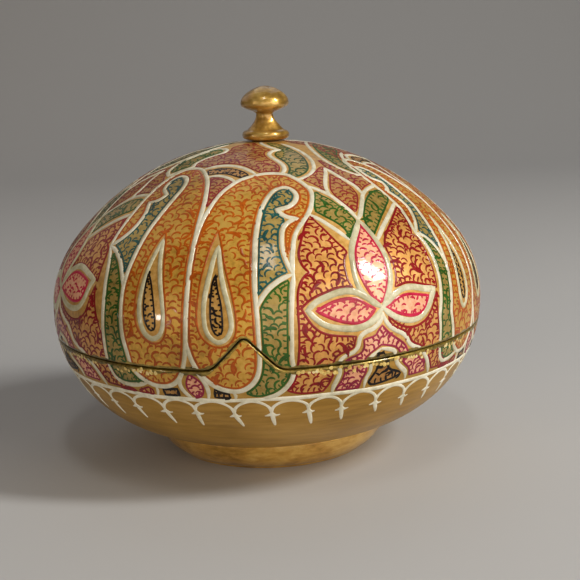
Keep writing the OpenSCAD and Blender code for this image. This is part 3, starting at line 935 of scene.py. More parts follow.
def part_at_seam(name, verts, faces, material, body):
    """The part of a painted mesh that one shell carries, brought over its worn rim."""
    verts = np.asarray(verts, float)
    bare = RIM_BARE[body]

    def measure(points):
        turn, climb, _ = chart_of(points)
        off = from_rim(turn, climb, body)
        return off, off - ragged(turn, climb, body)

    off, kept = measure(verts)
    reach = bare + CUT_REACH
    near = [f for f in faces if min(off[i] for i in f) < reach
            and max(kept[i] for i in f) > bare]
    far = [f for f in faces if min(off[i] for i in f) >= reach]
    v, near, val = cut(verts, near, kept, bare)
    near = [f for f in near
            if sum(val[i] - bare for i in f) > 0 and min(val[i] for i in f) > bare - 1e-6]
    val = measure(np.array(v))[0]
    for level in BEND_AT:
        v, near, val = cut(v, near, val, level)
    faces = far + near
    if not faces:
        return None
    v = np.array(v)
    used = sorted({i for f in faces for i in f})
    index = {old: new for new, old in enumerate(used)}
    v = v[used]
    turn, climb, lift = chart_of(v)
    faces = [tuple(index[i] for i in f) for f in faces]
    return new_object(name, on_box(turn, climb, worn(turn, climb, lift, body)), faces, [material])


def settle(name, verts, faces, material):
    """Splits a painted mesh between lid and bowl and lets each part ride on its body."""
    for body, place in (("lid", "lid"), ("base", "bowl")):
        obj = part_at_seam(f"{place}_{name}", verts, faces, material, body)
        if obj:
            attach(obj, body)


# ------------------------------------------------------------------ geometry node trees
ATTRIBUTE = "GeometryNodeInputNamedAttribute"


def new_tree(name, sockets):
    """An empty geometry tree with named inputs, their sockets and its output node."""
    tree = bpy.data.node_groups.new(name, "GeometryNodeTree")
    side = tree.interface
    side.new_socket("Geometry", in_out="INPUT", socket_type="NodeSocketGeometry")
    for label, kind, value in sockets:
        s = side.new_socket(label, in_out="INPUT", socket_type=kind)
        if value is not None:
            s.default_value = value
    side.new_socket("Geometry", in_out="OUTPUT", socket_type="NodeSocketGeometry")
    return tree, node(tree, "NodeGroupInput").outputs, node(tree, "NodeGroupOutput")


def hand_out(tree, given, end, geometry):
    """Makes the geometry real, gives it the material and passes it out of the tree."""
    real = node(tree, "GeometryNodeRealizeInstances", {"Geometry": geometry})
    done = node(tree, "GeometryNodeSetMaterial", {
        "Geometry": real, "Material": given["Material"]})
    tree.links.new(done.outputs["Geometry"], end.inputs["Geometry"])


def run_tree(obj, tree, values):
    """Runs a geometry tree on an object and returns its mesh's corners and faces in
    millimetres. The object and its modifier are removed."""
    mod = obj.modifiers.new(tree.name, "NODES")
    mod.node_group = tree
    names = {s.name: s.identifier for s in tree.interface.items_tree
             if s.item_type == "SOCKET" and s.in_out == "INPUT"}
    for label, value in values.items():
        mod[names[label]] = value
    graph = bpy.context.evaluated_depsgraph_get()
    graph.update()
    mesh = bpy.data.meshes.new_from_object(obj.evaluated_get(graph), depsgraph=graph)
    co = np.empty(len(mesh.vertices) * 3)
    mesh.vertices.foreach_get("co", co)
    faces = [tuple(p.vertices) for p in mesh.polygons]
    obj.modifiers.remove(mod)
    bpy.data.objects.remove(obj)
    bpy.data.meshes.remove(mesh)
    return co.reshape(-1, 3) / MM, faces


def line_tree():
    """A rounded line of paint, swept along paths that lie on the box."""
    tree, given, end = new_tree("painted_line", [
        ("Width", "NodeSocketFloat", 0.0013), ("Height", "NodeSocketFloat", 0.0003),
        ("Roundness", "NodeSocketInt", 6), ("Material", "NodeSocketMaterial", None)])
    path = node(tree, "GeometryNodeMeshToCurve", {"Mesh": given["Geometry"]})
    up = node(tree, ATTRIBUTE, {"Name": "up"}, data_type="FLOAT_VECTOR")
    brush = node(tree, ATTRIBUTE, {"Name": "brush"}, data_type="FLOAT")
    held = node(tree, "GeometryNodeSetCurveNormal", {"Curve": path, "Normal": up}, mode="FREE")
    arch = node(tree, "GeometryNodeCurveArc", {
        "Resolution": given["Roundness"], "Radius": 1.0,
        "Start Angle": -math.pi / 2, "Sweep Angle": math.pi}, mode="RADIUS")
    half = node(tree, "ShaderNodeMath", {0: given["Width"], 1: 0.5}, operation="MULTIPLY")
    size = node(tree, "ShaderNodeCombineXYZ", {"X": given["Height"], "Y": half, "Z": 1.0})
    across = node(tree, "GeometryNodeTransform", {"Geometry": arch, "Scale": size})
    sweep = node(tree, "GeometryNodeCurveToMesh", {
        "Curve": held, "Profile Curve": across, "Scale": brush})
    hand_out(tree, given, end, sweep)
    return tree


# The brush's pressure along a stroke, and the height of the ridge along its middle
STROKE_PRESS = [(0.0, 0.45), (0.3, 1.0), (0.65, 0.85), (1.0, 0.3)]
STROKE_RIDGE = 0.06


def comma(tree, given, points):
    """One brush stroke in the XY plane, thick at its head and drawn out to its tail.
    It is an arc of the inputs Length, Width and Curl with a low ridge along it."""
    radius = node(tree, "ShaderNodeMath", {0: given["Length"], 1: given["Curl"]},
                  operation="DIVIDE")
    half_turn = node(tree, "ShaderNodeMath", {0: given["Curl"], 1: -0.5}, operation="MULTIPLY")
    from_y = node(tree, "ShaderNodeMath", {0: half_turn, 1: math.pi / 2}, operation="ADD")
    arc = node(tree, "GeometryNodeCurveArc", {
        "Resolution": points, "Radius": radius, "Start Angle": from_y,
        "Sweep Angle": given["Curl"]}, mode="RADIUS")
    held = node(tree, "GeometryNodeSetCurveNormal", {
        "Curve": arc.outputs["Curve"], "Normal": (0, 0, 1)}, mode="FREE")
    along = node(tree, "GeometryNodeSplineParameter")
    press = node(tree, "ShaderNodeFloatCurve", {"Value": along.outputs["Factor"]})
    curve = press.mapping.curves[0]
    curve.points[0].location, curve.points[-1].location = STROKE_PRESS[0], STROKE_PRESS[-1]
    for at, value in STROKE_PRESS[1:-1]:
        curve.points.new(at, value)
    press.mapping.update()
    low = node(tree, "GeometryNodeCurvePrimitiveLine", {"Start": (0, -0.5, 0), "End": (0, 0.5, 0)})
    ridge = node(tree, "GeometryNodeResampleCurve", {"Curve": low, "Count": 3})
    parts = node(tree, "ShaderNodeSeparateXYZ", {"Vector": node(tree, "GeometryNodeInputPosition")})
    off = node(tree, "ShaderNodeMath", {0: parts.outputs["Y"]}, operation="ABSOLUTE")
    crest = node(tree, "ShaderNodeMath", {0: STROKE_RIDGE, 1: off}, operation="SUBTRACT")
    raised = node(tree, "ShaderNodeMath", {0: crest, 1: 0.0}, operation="MAXIMUM")
    lifted = node(tree, "ShaderNodeCombineXYZ", {"X": raised, "Y": parts.outputs["Y"]})
    across = node(tree, "GeometryNodeSetPosition", {"Geometry": ridge, "Position": lifted})
    scale = node(tree, "ShaderNodeCombineXYZ", {
        "X": given["Width"], "Y": given["Width"], "Z": 1.0})
    size = node(tree, "GeometryNodeTransform", {"Geometry": across, "Scale": scale})
    swept = node(tree, "GeometryNodeCurveToMesh", {
        "Curve": held, "Profile Curve": size, "Scale": press})
    back = node(tree, "ShaderNodeMath", {0: radius, 1: -0.6}, operation="MULTIPLY")
    centre = node(tree, "ShaderNodeCombineXYZ", {"Y": back, "Z": given["Lift"]})
    return node(tree, "GeometryNodeTransform", {"Geometry": swept, "Translation": centre})


def lay_strokes(tree, given, end, spots, shape, along):
    """Lays a stroke on each spot: flat on the wall, turned along an attribute and a
    little different from the next."""
    up = node(tree, ATTRIBUTE, {"Name": "up"}, data_type="FLOAT_VECTOR")
    way = node(tree, ATTRIBUTE, {"Name": along}, data_type="FLOAT_VECTOR")
    upright = node(tree, "FunctionNodeAlignRotationToVector", {"Vector": up}, axis="Z")
    towards = node(tree, "FunctionNodeAlignRotationToVector",
                   {"Rotation": upright, "Vector": way}, axis="Y", pivot_axis="Z")
    uneven, seed = given["Unevenness"], given["Seed"]
    less = node(tree, "ShaderNodeMath", {0: uneven, 1: -1.0}, operation="MULTIPLY")
    wander = node(tree, "FunctionNodeRandomValue", {2: less, 3: uneven, 8: seed},
                  data_type="FLOAT")
    lean = node(tree, "ShaderNodeMath", {0: wander.outputs[1], 1: given["Lean"]},
                operation="ADD")
    about = node(tree, "FunctionNodeAxisAngleToRotation", {"Axis": (0, 0, 1), "Angle": lean})
    turned_to = node(tree, "FunctionNodeRotateRotation",
                     {"Rotation": towards, "Rotate By": about}, rotation_space="LOCAL")
    other = node(tree, "ShaderNodeMath", {0: seed, 1: 7.0}, operation="ADD")
    grow = node(tree, "FunctionNodeRandomValue", {2: 0.78, 3: 1.18, 8: other},
                data_type="FLOAT")
    place = node(tree, "GeometryNodeInstanceOnPoints", {
        "Points": spots, "Instance": shape, "Rotation": turned_to, "Scale": grow.outputs[1]})
    hand_out(tree, given, end, place)


# Inputs that both trees of strokes have
STROKE_INPUTS = [
    ("Spacing", "NodeSocketFloat", 0.0023), ("Length", "NodeSocketFloat", 0.003),
    ("Width", "NodeSocketFloat", 0.0005), ("Curl", "NodeSocketFloat", 2.6),
    ("Lean", "NodeSocketFloat", 0.0), ("Unevenness", "NodeSocketFloat", 0.5),
    ("Lift", "NodeSocketFloat", 0.00002), ("Seed", "NodeSocketInt", 1),
    ("Material", "NodeSocketMaterial", None)]


def stroke_tree():
    """Short curled brush strokes in fields of colour: scattered, or one on each corner
    of the mesh where they stand in rows."""
    tree, given, end = new_tree("brush_strokes", STROKE_INPUTS + [
        ("Margin", "NodeSocketFloat", 0.8), ("In Rows", "NodeSocketBool", False)])
    gap = node(tree, ATTRIBUTE, {"Name": "edge_gap"}, data_type="FLOAT")
    clear = node(tree, "FunctionNodeCompare", {0: gap, 1: given["Margin"]},
                 data_type="FLOAT", operation="GREATER_THAN")
    spots = node(tree, "GeometryNodeDistributePointsOnFaces", {
        "Mesh": given["Geometry"], "Selection": clear,
        "Distance Min": given["Spacing"], "Density Max": 1.6e6,
        "Seed": given["Seed"]}, distribute_method="POISSON")
    rows = node(tree, "GeometryNodeMeshToPoints", {
        "Mesh": given["Geometry"], "Selection": clear})
    chosen = node(tree, "GeometryNodeSwitch", {
        "Switch": given["In Rows"], "False": spots, "True": rows},
        input_type="GEOMETRY")
    lay_strokes(tree, given, end, chosen, comma(tree, given, 8), "flow")
    return tree


def teeth_tree():
    """Short strokes like a comb's teeth, set along the inner side of a field's line."""
    tree, given, end = new_tree("border_teeth", STROKE_INPUTS)
    path = node(tree, "GeometryNodeMeshToCurve", {"Mesh": given["Geometry"]})
    even = node(tree, "GeometryNodeResampleCurve", {
        "Curve": path, "Length": given["Spacing"]}, mode="LENGTH")
    points = node(tree, "GeometryNodeCurveToPoints", {"Curve": even}, mode="EVALUATED")
    lay_strokes(tree, given, end, points, comma(tree, given, 5), "into")
    return tree


def edge_mesh(name, verts, edges, faces, attributes):
    """A mesh object that carries attributes for a geometry tree."""
    mesh = bpy.data.meshes.new(name)
    mesh.from_pydata(verts, edges, faces)
    for label, values in attributes.items():
        values = np.array(values, float)
        kind, field = ("FLOAT_VECTOR", "vector") if values.ndim == 2 else ("FLOAT", "value")
        mesh.attributes.new(label, kind, "POINT").data.foreach_set(field, values.ravel())
    obj = bpy.data.objects.new(name, mesh)
    bpy.context.scene.collection.objects.link(obj)
    return obj


def path_object(lines, lift, inwards=0):
    """Paths on the box as one mesh of edges, with the wall's normal and the brush's
    pressure at each point, and for fields' edges the way into the field. A line is
    (turn, climb, closed, pressure, side), and side is -1 round a hole."""
    verts, edges, up, brush, into = [], [], [], [], []
    for turn, climb, closed, press, *side in lines:
        first, ring, face = len(verts), on_box(turn, climb, lift), facing(turn, climb)
        if inwards:
            way = np.cross(face, np.roll(ring, -1, 0) - np.roll(ring, 1, 0))
            way /= np.linalg.norm(way, axis=1, keepdims=True) + 1e-9
            way *= math.copysign(1, twice_area(flat(turn, climb))) * side[0]
            ring = ring + way * inwards
            into += way.tolist()
        verts += (ring * MM).tolist()
        up += face.tolist()
        brush += press.tolist()
        n = len(turn)
        edges += [(first + i, first + i + 1) for i in range(n - 1)]
        if closed:
            edges.append((first + n - 1, first))
    attributes = {"up": up, "brush": brush}
    if inwards:
        attributes["into"] = into
    return edge_mesh("paths", verts, edges, [], attributes)


# How far spots in rows stray, as a share of their spacing
ROW_SWAY = 0.24
# How much a brush's pressure sways along a line, and the millimetres over which it is
# lifted towards a free end, down to its least
PRESS_SWAY, TAPER, LEAST_PRESS = 0.14, 2.2, 0.45


def flow_at(turn, climb):
    """Unit vectors up the wall."""
    up = on_box(turn, climb + 0.1) - on_box(turn, climb)
    return up / np.linalg.norm(up, axis=1, keepdims=True)


def chart_mesh(turn, climb, gaps, faces, lift):
    """A mesh on the box with the distance to the field's edge and the way up the wall."""
    return edge_mesh("places", (on_box(turn, climb, lift) * MM).tolist(), [], faces, {
        "edge_gap": gaps, "flow": flow_at(turn, climb), "up": facing(turn, climb)})


def field_object(patches, lift):
    """Colour fields as one mesh."""
    climb, gaps = (np.concatenate([p[i] for p in patches]) for i in (1, 3))
    turn, faces = merged([(p[0], p[2].tolist()) for p in patches])
    return chart_mesh(turn, climb, gaps, faces, lift)


def row_object(fields, lift, wide, tall, seed):
    """Loose spots in staggered rows over colour fields, as scales lie on a fish."""
    draw = random.Random(seed)
    found = []
    for loop, holes in fields:
        loops = [loop] + holes
        flats = [flat(t, c) for t, c in loops]
        edge = np.vstack([on_box(t, c) for t, c in loops])
        spots = []
        for row, climb in enumerate(np.arange(loop[1].min(), loop[1].max(), tall)):
            pitch = math.degrees(wide / np.hypot(*on_box(0.0, climb)[:2]))
            first = loop[0].min() + (pitch / 2 if row % 2 else 0)
            for turn in np.arange(first, loop[0].max(), pitch):
                spots.append((turn + draw.uniform(-ROW_SWAY, ROW_SWAY) * pitch,
                              climb + draw.uniform(-ROW_SWAY, ROW_SWAY) * tall))
        if not spots:
            continue
        t, c = np.array(spots).T
        keep = inside(flat(t, c), flats)
        t, c = t[keep], c[keep]
        if len(t):
            found.append((t, c, nearest(on_box(t, c), edge)))
    turn, climb, gaps = (np.concatenate(values) for values in zip(*found))
    return chart_mesh(turn, climb, gaps, [], lift)


def pressure(count, closed, seed):
    """How hard the brush is pressed along a line: it sways, and lifts at free ends."""
    draw = random.Random(seed)
    way = np.arange(count) * LINE_STEP
    waves = sum(np.sin(way / draw.uniform(2.0, 9.0) + draw.uniform(0, ANY_PHASE))
                for _ in range(3)) / 3
    press = 1 + PRESS_SWAY * waves
    if not closed:
        ends = np.minimum(way, way[::-1]) / TAPER
        press = press * np.clip(LEAST_PRESS + 0.55 * ends, LEAST_PRESS, 1)
    return press


# ------------------------------------------------------------------ finishes
# Papier mache is primed with chalk, painted in gouache and powdered gold, and
# varnished, so each paint lies dull and brushed under one hard, glossy clear coat.
PAINTS = {
    # Powdered gold brushed thin over ochre: dull flakes, with streaks of bare ochre. The
    # bowl's is browner, with streaks round it, 11 mm long and 1.2 mm apart
    "gold_paint_ground": Paint("#C49448", "#A07634", "#DCB068", 0.4, 0.25, 0.55),
    "gold_paint_bowl": Paint("#B0863A", "#98722C", "#C2984A", 0.42, 0.25, 0.3, (1, 1, 9), 90.0,
                             0.1),
    # Raised outlines of chalk and glue: pale and blunt, with lumps 2 mm apart. Round petals
    # and drops they are broad and thin, so the gold dulls them. The arches' copy of the cream
    # is painted whiter, as painted light from the floor's bounce on the bowl's lower side
    "cream_gesso_line": Paint("#D2CBB0", "#B6AF90", "#E2DDC6", 0.45, 0.0, 0.5, scale=500.0,
                              bump=0.15),
    "sage_gesso_line": Paint("#BEB792", "#A29A74", "#DAD4B6", 0.45, 0.0, 0.5, scale=500.0,
                             bump=0.15),
    "border_white_painted_light": Paint("#ECE6CC", "#CCC6AA", "#F6F2E0", 0.45, 0.0, 0.45, scale=500.0,
                          bump=0.15),
    # Thin washes that fill the fields: tinted gold, which still glints a little
    "paisley_ochre_wash": Paint("#D09E3E", "#A87C2C", "#E0B254", 0.42, 0.45, 0.55),
    "teal_wash": Paint("#A68B48", "#857034", "#BCA25E", 0.4, 0.25, 0.55),
    "green_wash": Paint("#A08542", "#806A30", "#B49A58", 0.4, 0.25, 0.55),
    "flower_wash": Paint("#D2984E", "#B27A38", "#E4B068", 0.4, 0.3, 0.55),
    "petal_wash": Paint("#E6A680", "#CE8E66", "#F2C09C", 0.4, 0.1, 0.55),
    "wine_wash": Paint("#B07E3E", "#90622A", "#C49654", 0.4, 0.25, 0.55),
    # Gouache in the fields' lines, teeth and strokes: flat, opaque colour with no glint
    "burnt_orange_gouache": Paint("#A44A03", "#843801", "#BC5C06", 0.45, 0.0, 0.55),
    "teal_gouache": Paint("#164844", "#0C322E", "#246058", 0.45, 0.0, 0.55),
    "green_gouache": Paint("#27500F", "#1A3A08", "#38651C", 0.45, 0.0, 0.55),
    "crimson_gouache": Paint("#800508", "#5E0305", "#981012", 0.45, 0.0, 0.55),
    "rose_gouache": Paint("#8C1838", "#6A1028", "#A42A4A", 0.45, 0.0, 0.55),
    "pink_gouache": Paint("#B41238", "#900A28", "#CC2A4C", 0.45, 0.0, 0.55),
    "wine_gouache": Paint("#841C18", "#64120E", "#983028", 0.45, 0.0, 0.55),
    "black_gouache": Paint("#140A03", "#0C0602", "#241405", 0.4, 0.0, 0.35),
    "moss_gouache": Paint("#2C4414", "#1E300C", "#3E5A22", 0.45, 0.0, 0.55),
    # Gilding: bare where paint has chipped off it, in a pale yellow that is partly a painted
    # glint, and rubbed down to dark lacquer at rims
    "bare_gilding_painted_glint": Paint("#F0D27C", "#C09A3C", "#FFF4C8", 0.3, 0.3, 0.8),
    "rubbed_rim": Paint("#8A7430", "#4E4014", "#C8AA50", 0.28, 0.6, 0.7),
    # Burnished gold powder paint: glossy, part metal and part ochre, with streaks 3.8 mm
    # long and 1.5 mm apart from the brush that was held to the turning piece
    "gold_powder_foot": Paint("#CC9C46", "#A2782E", "#E2BA64", 0.32, 0.12, 0.9, (1, 1, 2.5),
                              260.0, 0.3),
    "gold_powder_knob": Paint("#B68C3E", "#6E5018", "#DCB866", 0.32, 0.62, 0.9, (1, 1, 2.5),
                              260.0, 0.3),
    # Black lacquer over card: even and glossy. The card's tooth beneath, 0.1 mm fine, is
    # drawn 1.1 mm wide, so that it shows
    "black_lacquer_on_card": Paint("#16120F", "#0D0B09", "#211B17", 0.3, 0.0, 0.8, scale=900.0),
}
finishes = {}


def paint(name, colour=None):
    """One of the box's paints under its varnish, made when it is first used. A colour, as
    linear RGBA, takes the place of its own."""
    if name not in finishes:
        look = PAINTS[name]
        finishes[name] = varnished(name, look, colour or linear(look.colour))
    return finishes[name]


# ------------------------------------------------------------------ turned pieces
FOOT_R = 27.0
FOOT_TOP_R = 34.5
FOOT_FACE_W = 5.0
FOOT_SIDE_R = 12.0
BEAD_R = 1.3
BEAD_OUT = 7.0
PEG_R = 2.5
PEG_LENGTH = 5.25
GLUE_GAP = 0.05
# Radius of the foot's worn lower edge, and width of the knob's seat on the crown
FOOT_EDGE_R = 0.55
SEAT_W = 2.8


def foot_profile():
    """Half profile of the foot ring: flat foot, swelling side, top cupped to the bowl."""
    bowl_r = BOTTOM_R - PAINT_T - GLUE_GAP
    top_z = BOTTOM_CENTRE - math.sqrt(BOTTOM_R**2 - FOOT_TOP_R**2)
    run, rise = FOOT_TOP_R - FOOT_R, top_z
    chord = math.hypot(run, rise)
    back = math.sqrt(FOOT_SIDE_R**2 - chord**2 / 4) / chord
    cx, cz = FOOT_R + run / 2 - back * rise, rise / 2 + back * run
    edge_z = FOOT_EDGE_R - cz
    a0 = math.degrees(math.atan2(edge_z, math.sqrt(FOOT_SIDE_R**2 - edge_z**2)))
    a1 = math.degrees(math.atan2(top_z - cz, FOOT_TOP_R - cx))
    side = arc_points(cx, cz, FOOT_SIDE_R, a0, a1 - 0.4, 26)
    x0 = side[0][0]
    edge = [(x0 - FOOT_EDGE_R - 0.1, 0.0), (x0 - 0.35, 0.06), (x0 - 0.12, 0.25)]
    inner = FOOT_R - FOOT_FACE_W
    low = [(inner + 0.4, 0.0)] + [(inner + t, 0.0) for t in (1.5, 3.0)]
    top = [(r, BOTTOM_CENTRE - math.sqrt(bowl_r**2 - r**2))
           for r in np.linspace(FOOT_TOP_R - 0.1, inner, 12)]
    return low + edge + side + top + [(inner, 3.5), (inner, 1.5), (inner, 0.4)]


def knob_profile():
    """Half profile of the knob and its peg, its turned edges softened by the gilding. The
    head slides along the crown whole, the peg not at all, and the seat in between. Rows
    are (radius, height over the crown, share of the slide)."""
    def under(r):
        return math.sqrt((CROWN_R + GLUE_GAP) ** 2 - r**2) - CROWN_R

    peg = [(0.01, -PEG_LENGTH, 0), (PEG_R - 0.3, -PEG_LENGTH, 0), (PEG_R, -PEG_LENGTH + 0.3, 0),
           (PEG_R, -2.0, 0), (PEG_R, under(PEG_R) - 0.2, 0), (PEG_HOLE_R, under(PEG_HOLE_R), 0)]
    seat = [(r, under(r), min(1, (r - PEG_HOLE_R) / SEAT_W)) for r in (3.2, 3.8, 4.6, 5.4)]
    bead = arc_points(BEAD_OUT - BEAD_R, BEAD_R, BEAD_R, -80, 76, 16)
    stem = [(5.55, 2.75), (5.1, 3.2), (4.6, 3.8), (4.1, 4.4), (3.62, 5.0), (3.25, 5.6),
            (2.98, 6.2), (2.82, 6.8), (2.8, 7.35), (3.5, 7.85), (5.0, 8.4), (6.2, 8.95),
            (6.95, 9.5), (7.15, 10.1), (7.08, 10.8), (6.8, 11.6), (6.25, 12.4), (5.4, 13.2),
            (4.3, 13.95), (3.0, 14.6), (1.5, 15.05), (0.01, 15.2)]
    head = [(*p, 1) for p in bead] + [(r, h, 1) for r, h in smooth_line(stem, False, 0.32)]
    return [(max(r, 0.01), CROWN_Z + h, share) for r, h, share in peg + seat + head]


# ------------------------------------------------------------------ lines and fields
# The front repeat's middle turn
FRONT_MIDDLE = 6
# Lines that are laid broad, and how much broader these and the drops' rims are
PETAL_RUNS = ("petal_left", "petal_right", "small_left", "small_right")
PETAL_BROAD, DROP_BROAD = 1.38, 1.05
# Gaps between an outline and the field within it, in the paisleys and in the top leaf
BODY_INSET, LEAF_INSET = 1.05, 1.3
# Where the bowl's rim is chipped: turns of the front repeat, and distances below the rim
CHIPPED = ((-35, -21), (12, 50))
CHIPS_TOP, CHIPS_LOW = 0.75, 1.7


def drawn(points, k, closed=False, crown=False):
    """One line of the pattern as (turn, climb), in the repeat where it stands."""
    turn, climb = on_chart(points, closed, LINE_STEP, crown)
    turn = near_turn(turn, FRONT_MIDDLE) if crown else turn
    away = np.hypot((turn - LIFT_MIDDLE[0]) / LIFT_REACH[0],
                    (climb - LIFT_MIDDLE[1]) / LIFT_REACH[1])
    climb = climb + PETAL_LIFTS[k] * np.exp(-away ** 2 / 2)
    return into_repeat(turn, climb, k), climb


def joined(*pieces):
    """One closed outline from parts of lines, given in order."""
    out = []
    for piece in pieces:
        out += [p for p in piece if not out or p[:2] != out[-1][:2]]
    return out


def between(run, start, stop):
    """The part of a line from one of its points to another."""
    points = RUNS[run]
    at = [p[:2] for p in points]
    i, j = at.index(start), at.index(stop)
    return points[i:j + 1] if i <= j else points[j:i + 1][::-1]


def top_leaf(k):
    """The leaf's parts beside the knob: lines (closed or not) and field, as turn and
    climb. It differs from repeat to repeat."""
    if k in (0, 2):
        turn, climb = drawn(TOP_LEAF_A, k, True, True)
        return [(turn, climb, True)], inset_loop(turn, climb, LEAF_INSET)
    add = 0.0 if k == 1 else TOP_LEAF_B_TURN
    lines = []
    for run in (TOP_LEAF_B_LOW, TOP_LEAF_B_UP):
        turn, climb = on_chart(run, False, LINE_STEP, True)
        lines.append((turn + add, climb, False))
    turn, climb = on_chart(TOP_LEAF_B_FIELD, True, LINE_STEP, True)
    return lines, (turn + add, climb)


def cream_lines():
    """The raised cream lines as (turn, climb, closed)."""
    lines = []
    for k in range(len(REPEATS)):
        lines += [(*drawn(points, k), False) for name, points in RUNS.items()
                  if name not in PETAL_RUNS]
        lines += [(*drawn(points, k, crown=True), False) for points in CROWN_RUNS.values()]
        lines += top_leaf(k)[0]
    return lines


def sage_lines():
    """The broad lines round petals and drops as (turn, climb, closed, width)."""
    lines = []
    for k in range(len(REPEATS)):
        lines += [(*drawn(RUNS[name], k), False, PETAL_BROAD) for name in PETAL_RUNS]
        lines += [(*drawn(drop["rim"], k, True), True, DROP_BROAD) for drop in DROPS.values()]
    return lines


def colour_fields():
    """The colour fields: (family, outer loop, holes)."""
    sides = between("a_outer", (-14.3, 28), (-13.7, 10))
    body_a = joined(RUNS["a_outer"], RUNS["a_inner"][:-1])
    teal_a = joined(between("a_inner", (-32.6, 20), (-44.8, 31.5)), RUNS["a_divider"][1:-1])
    band_a = joined(between("a_inner", (-29.2, -0.6), (-32.6, 20)), RUNS["a_divider"][::-1][:-1],
                    RUNS["a_band"], between("a_outer", (-24, -4.6), (-29.2, -0.6))[:-1])
    body_b = joined(RUNS["b_outer"][::-1], sides, RUNS["b_inner"][:-1])
    teal_b = joined(between("b_inner", (3.1, 18), (12.6, 24.4))[:-1], RUNS["leaf_top"][::-1][:-1])
    leaf_b = joined(RUNS["leaf_top"], RUNS["leaf_side"][1:], [(1, -7.8), (-1, -6.6)],
                    between("b_inner", (-2, -5.5), (3.3, 14)))
    shapes = [("orange", body_a, ["a"]), ("teal", teal_a, []), ("green", band_a, []),
              ("orange", body_b, ["b"]), ("teal", teal_b, []), ("green", leaf_b, [])]
    fields = []
    for k in range(len(REPEATS)):
        for family, outline, drops in shapes:
            turn, climb = drawn(outline, k, True)
            holes = [drawn(DROPS[d]["halo"], k, True) for d in drops]
            fields.append((family, inset_loop(turn, climb, BODY_INSET), holes))
        for family, outline in FIELDS:
            fields.append((family, drawn(outline, k, True), []))
        for family, outline in CROWN_FIELDS:
            fields.append((family, drawn(outline, k, True, True), []))
        fields.append(("green", top_leaf(k)[1], []))
        for drop in DROPS.values():
            fields.append(("heart", drawn(drop["heart"], k, True), []))
    return fields


# Every kind of drawing has its own random draws, this far along from the seed
SEEDS = {"teeth": 40, "rows": 70, "heavy": 80, "chips": 200, "broad": 500, "border": 991,
         "arches": 23, "family": 1000}
# Height of the fields' own lines
FINE_LINE_H = 0.07
# Strokes this uneven lie any way round, in radians
ANY_WAY = 2.4
# A margin that lets strokes stand on a field's very edge, and how far chips lie off the
# CAD face
NO_MARGIN, CHIP_LIFT = -1.0, 0.08 - PAINT_T


class Brushwork(typing.NamedTuple):
    """How a family of fields is painted. Sizes are millimetres, angles radians. Where
    rows is set, strokes stand in rows that far apart; otherwise they are scattered."""
    wash: str
    gouache: str
    line: float
    spacing: float
    length: float
    width: float
    curl: float
    lean: float
    uneven: float
    rows: float = 0.0
    teeth: float = 0.0
    tooth: float = 1.4
    heavy: float = 0.0


FAMILIES = {
    "orange": Brushwork("paisley_ochre_wash", "burnt_orange_gouache", 0.58, 2.7, 3.4, 0.62, 2.6,
                        0.0, 1.3, 1.95, 1.7, 1.4, 5.2),
    "teal": Brushwork("teal_wash", "teal_gouache", 0.55, 1.4, 3.0, 0.56, 2.6, 0.3, 1.6,
                      0.0, 1.7, 1.2, 4.0),
    "green": Brushwork("green_wash", "green_gouache", 0.62, 1.55, 3.0, 0.58, 2.5, 0.3, 1.4,
                       0.0, 1.6, 1.3, 4.0),
    "crimson": Brushwork("flower_wash", "crimson_gouache", 0.68, 2.5, 3.4, 0.62, 2.7, 0.15,
                         1.3, 1.8, 1.5, 1.7, 4.6),
    "rose": Brushwork("petal_wash", "rose_gouache", 0.62, 2.1, 3.2, 0.62, 2.8, 0.2, 1.2, 1.6,
                      1.5, 1.3, 4.2),
    "pink": Brushwork("petal_wash", "pink_gouache", 0.85, 1.4, 2.1, 0.64, 1.7, 0.2, 0.7,
                      0.0, 1.7, 1.3),
    "wine": Brushwork("wine_wash", "wine_gouache", 0.5, 2.2, 3.2, 0.56, 2.8, 0.2, 1.1, 1.6,
                      1.6, 1.3),
    "smoke": Brushwork("wine_wash", "black_gouache", 0.5, 1.3, 2.4, 0.6, 2.2, 0.4, 1.3,
                       0.0, 1.5, 1.1),
    "square": Brushwork("wine_wash", "black_gouache", 0.8, 0.95, 1.5, 0.6, 1.8, 0.8, 1.5,
                        0.0, 1.6, 0.8),
    "moss": Brushwork("green_wash", "moss_gouache", 0.6, 1.5, 3.0, 0.6, 2.5, 0.3, 1.3,
                      0.0, 1.6, 1.3),
    "black": Brushwork("wine_wash", "black_gouache", 0.75, 1.1, 2.6, 0.7, 1.2, 0.0, 0.5,
                       0.0, 1.8, 2.0),
    "heart": Brushwork("gold_paint_ground", "black_gouache", 0.52, 1.15, 2.0, 0.62, 2.2, 1.5,
                       1.2, 0.0, 1.5, 0.9),
}


def family_loops():
    """Fields gathered by family."""
    out = {}
    for family, loop, holes in colour_fields():
        out.setdefault(family, []).append((loop, holes))
    return out


def chipped_bands():
    """Bands along the bowl's rim, below the left paisley and the flower of each repeat,
    where the paint has chipped."""
    bands = []
    for k in range(len(REPEATS)):
        for start, stop in CHIPPED:
            turn = into_repeat(np.linspace(start, stop, 60), np.full(60, -1.0), k)
            rim = rim_climb(turn, "base")
            bands.append(patch([(np.concatenate([turn, turn[::-1]]),
                                 np.concatenate([rim - CHIPS_TOP, rim[::-1] - CHIPS_LOW]))]))
    return bands


# One arch of the border under its line: (turn in pitches, climb). There are this many
# round the bowl, and the first one starts at this turn.
ARCH_LEG = [(0.0, -12.2), (0.045, -11.0), (0.13, -10.1), (0.27, -9.3), (0.5, -8.75),
            (0.73, -9.3), (0.87, -10.1), (0.955, -11.0), (1.0, -12.2)]
ARCHES = 38
ARCH_START = -4.3
# Millimetres between the places along the border's strokes
ARCH_STEP = 0.45


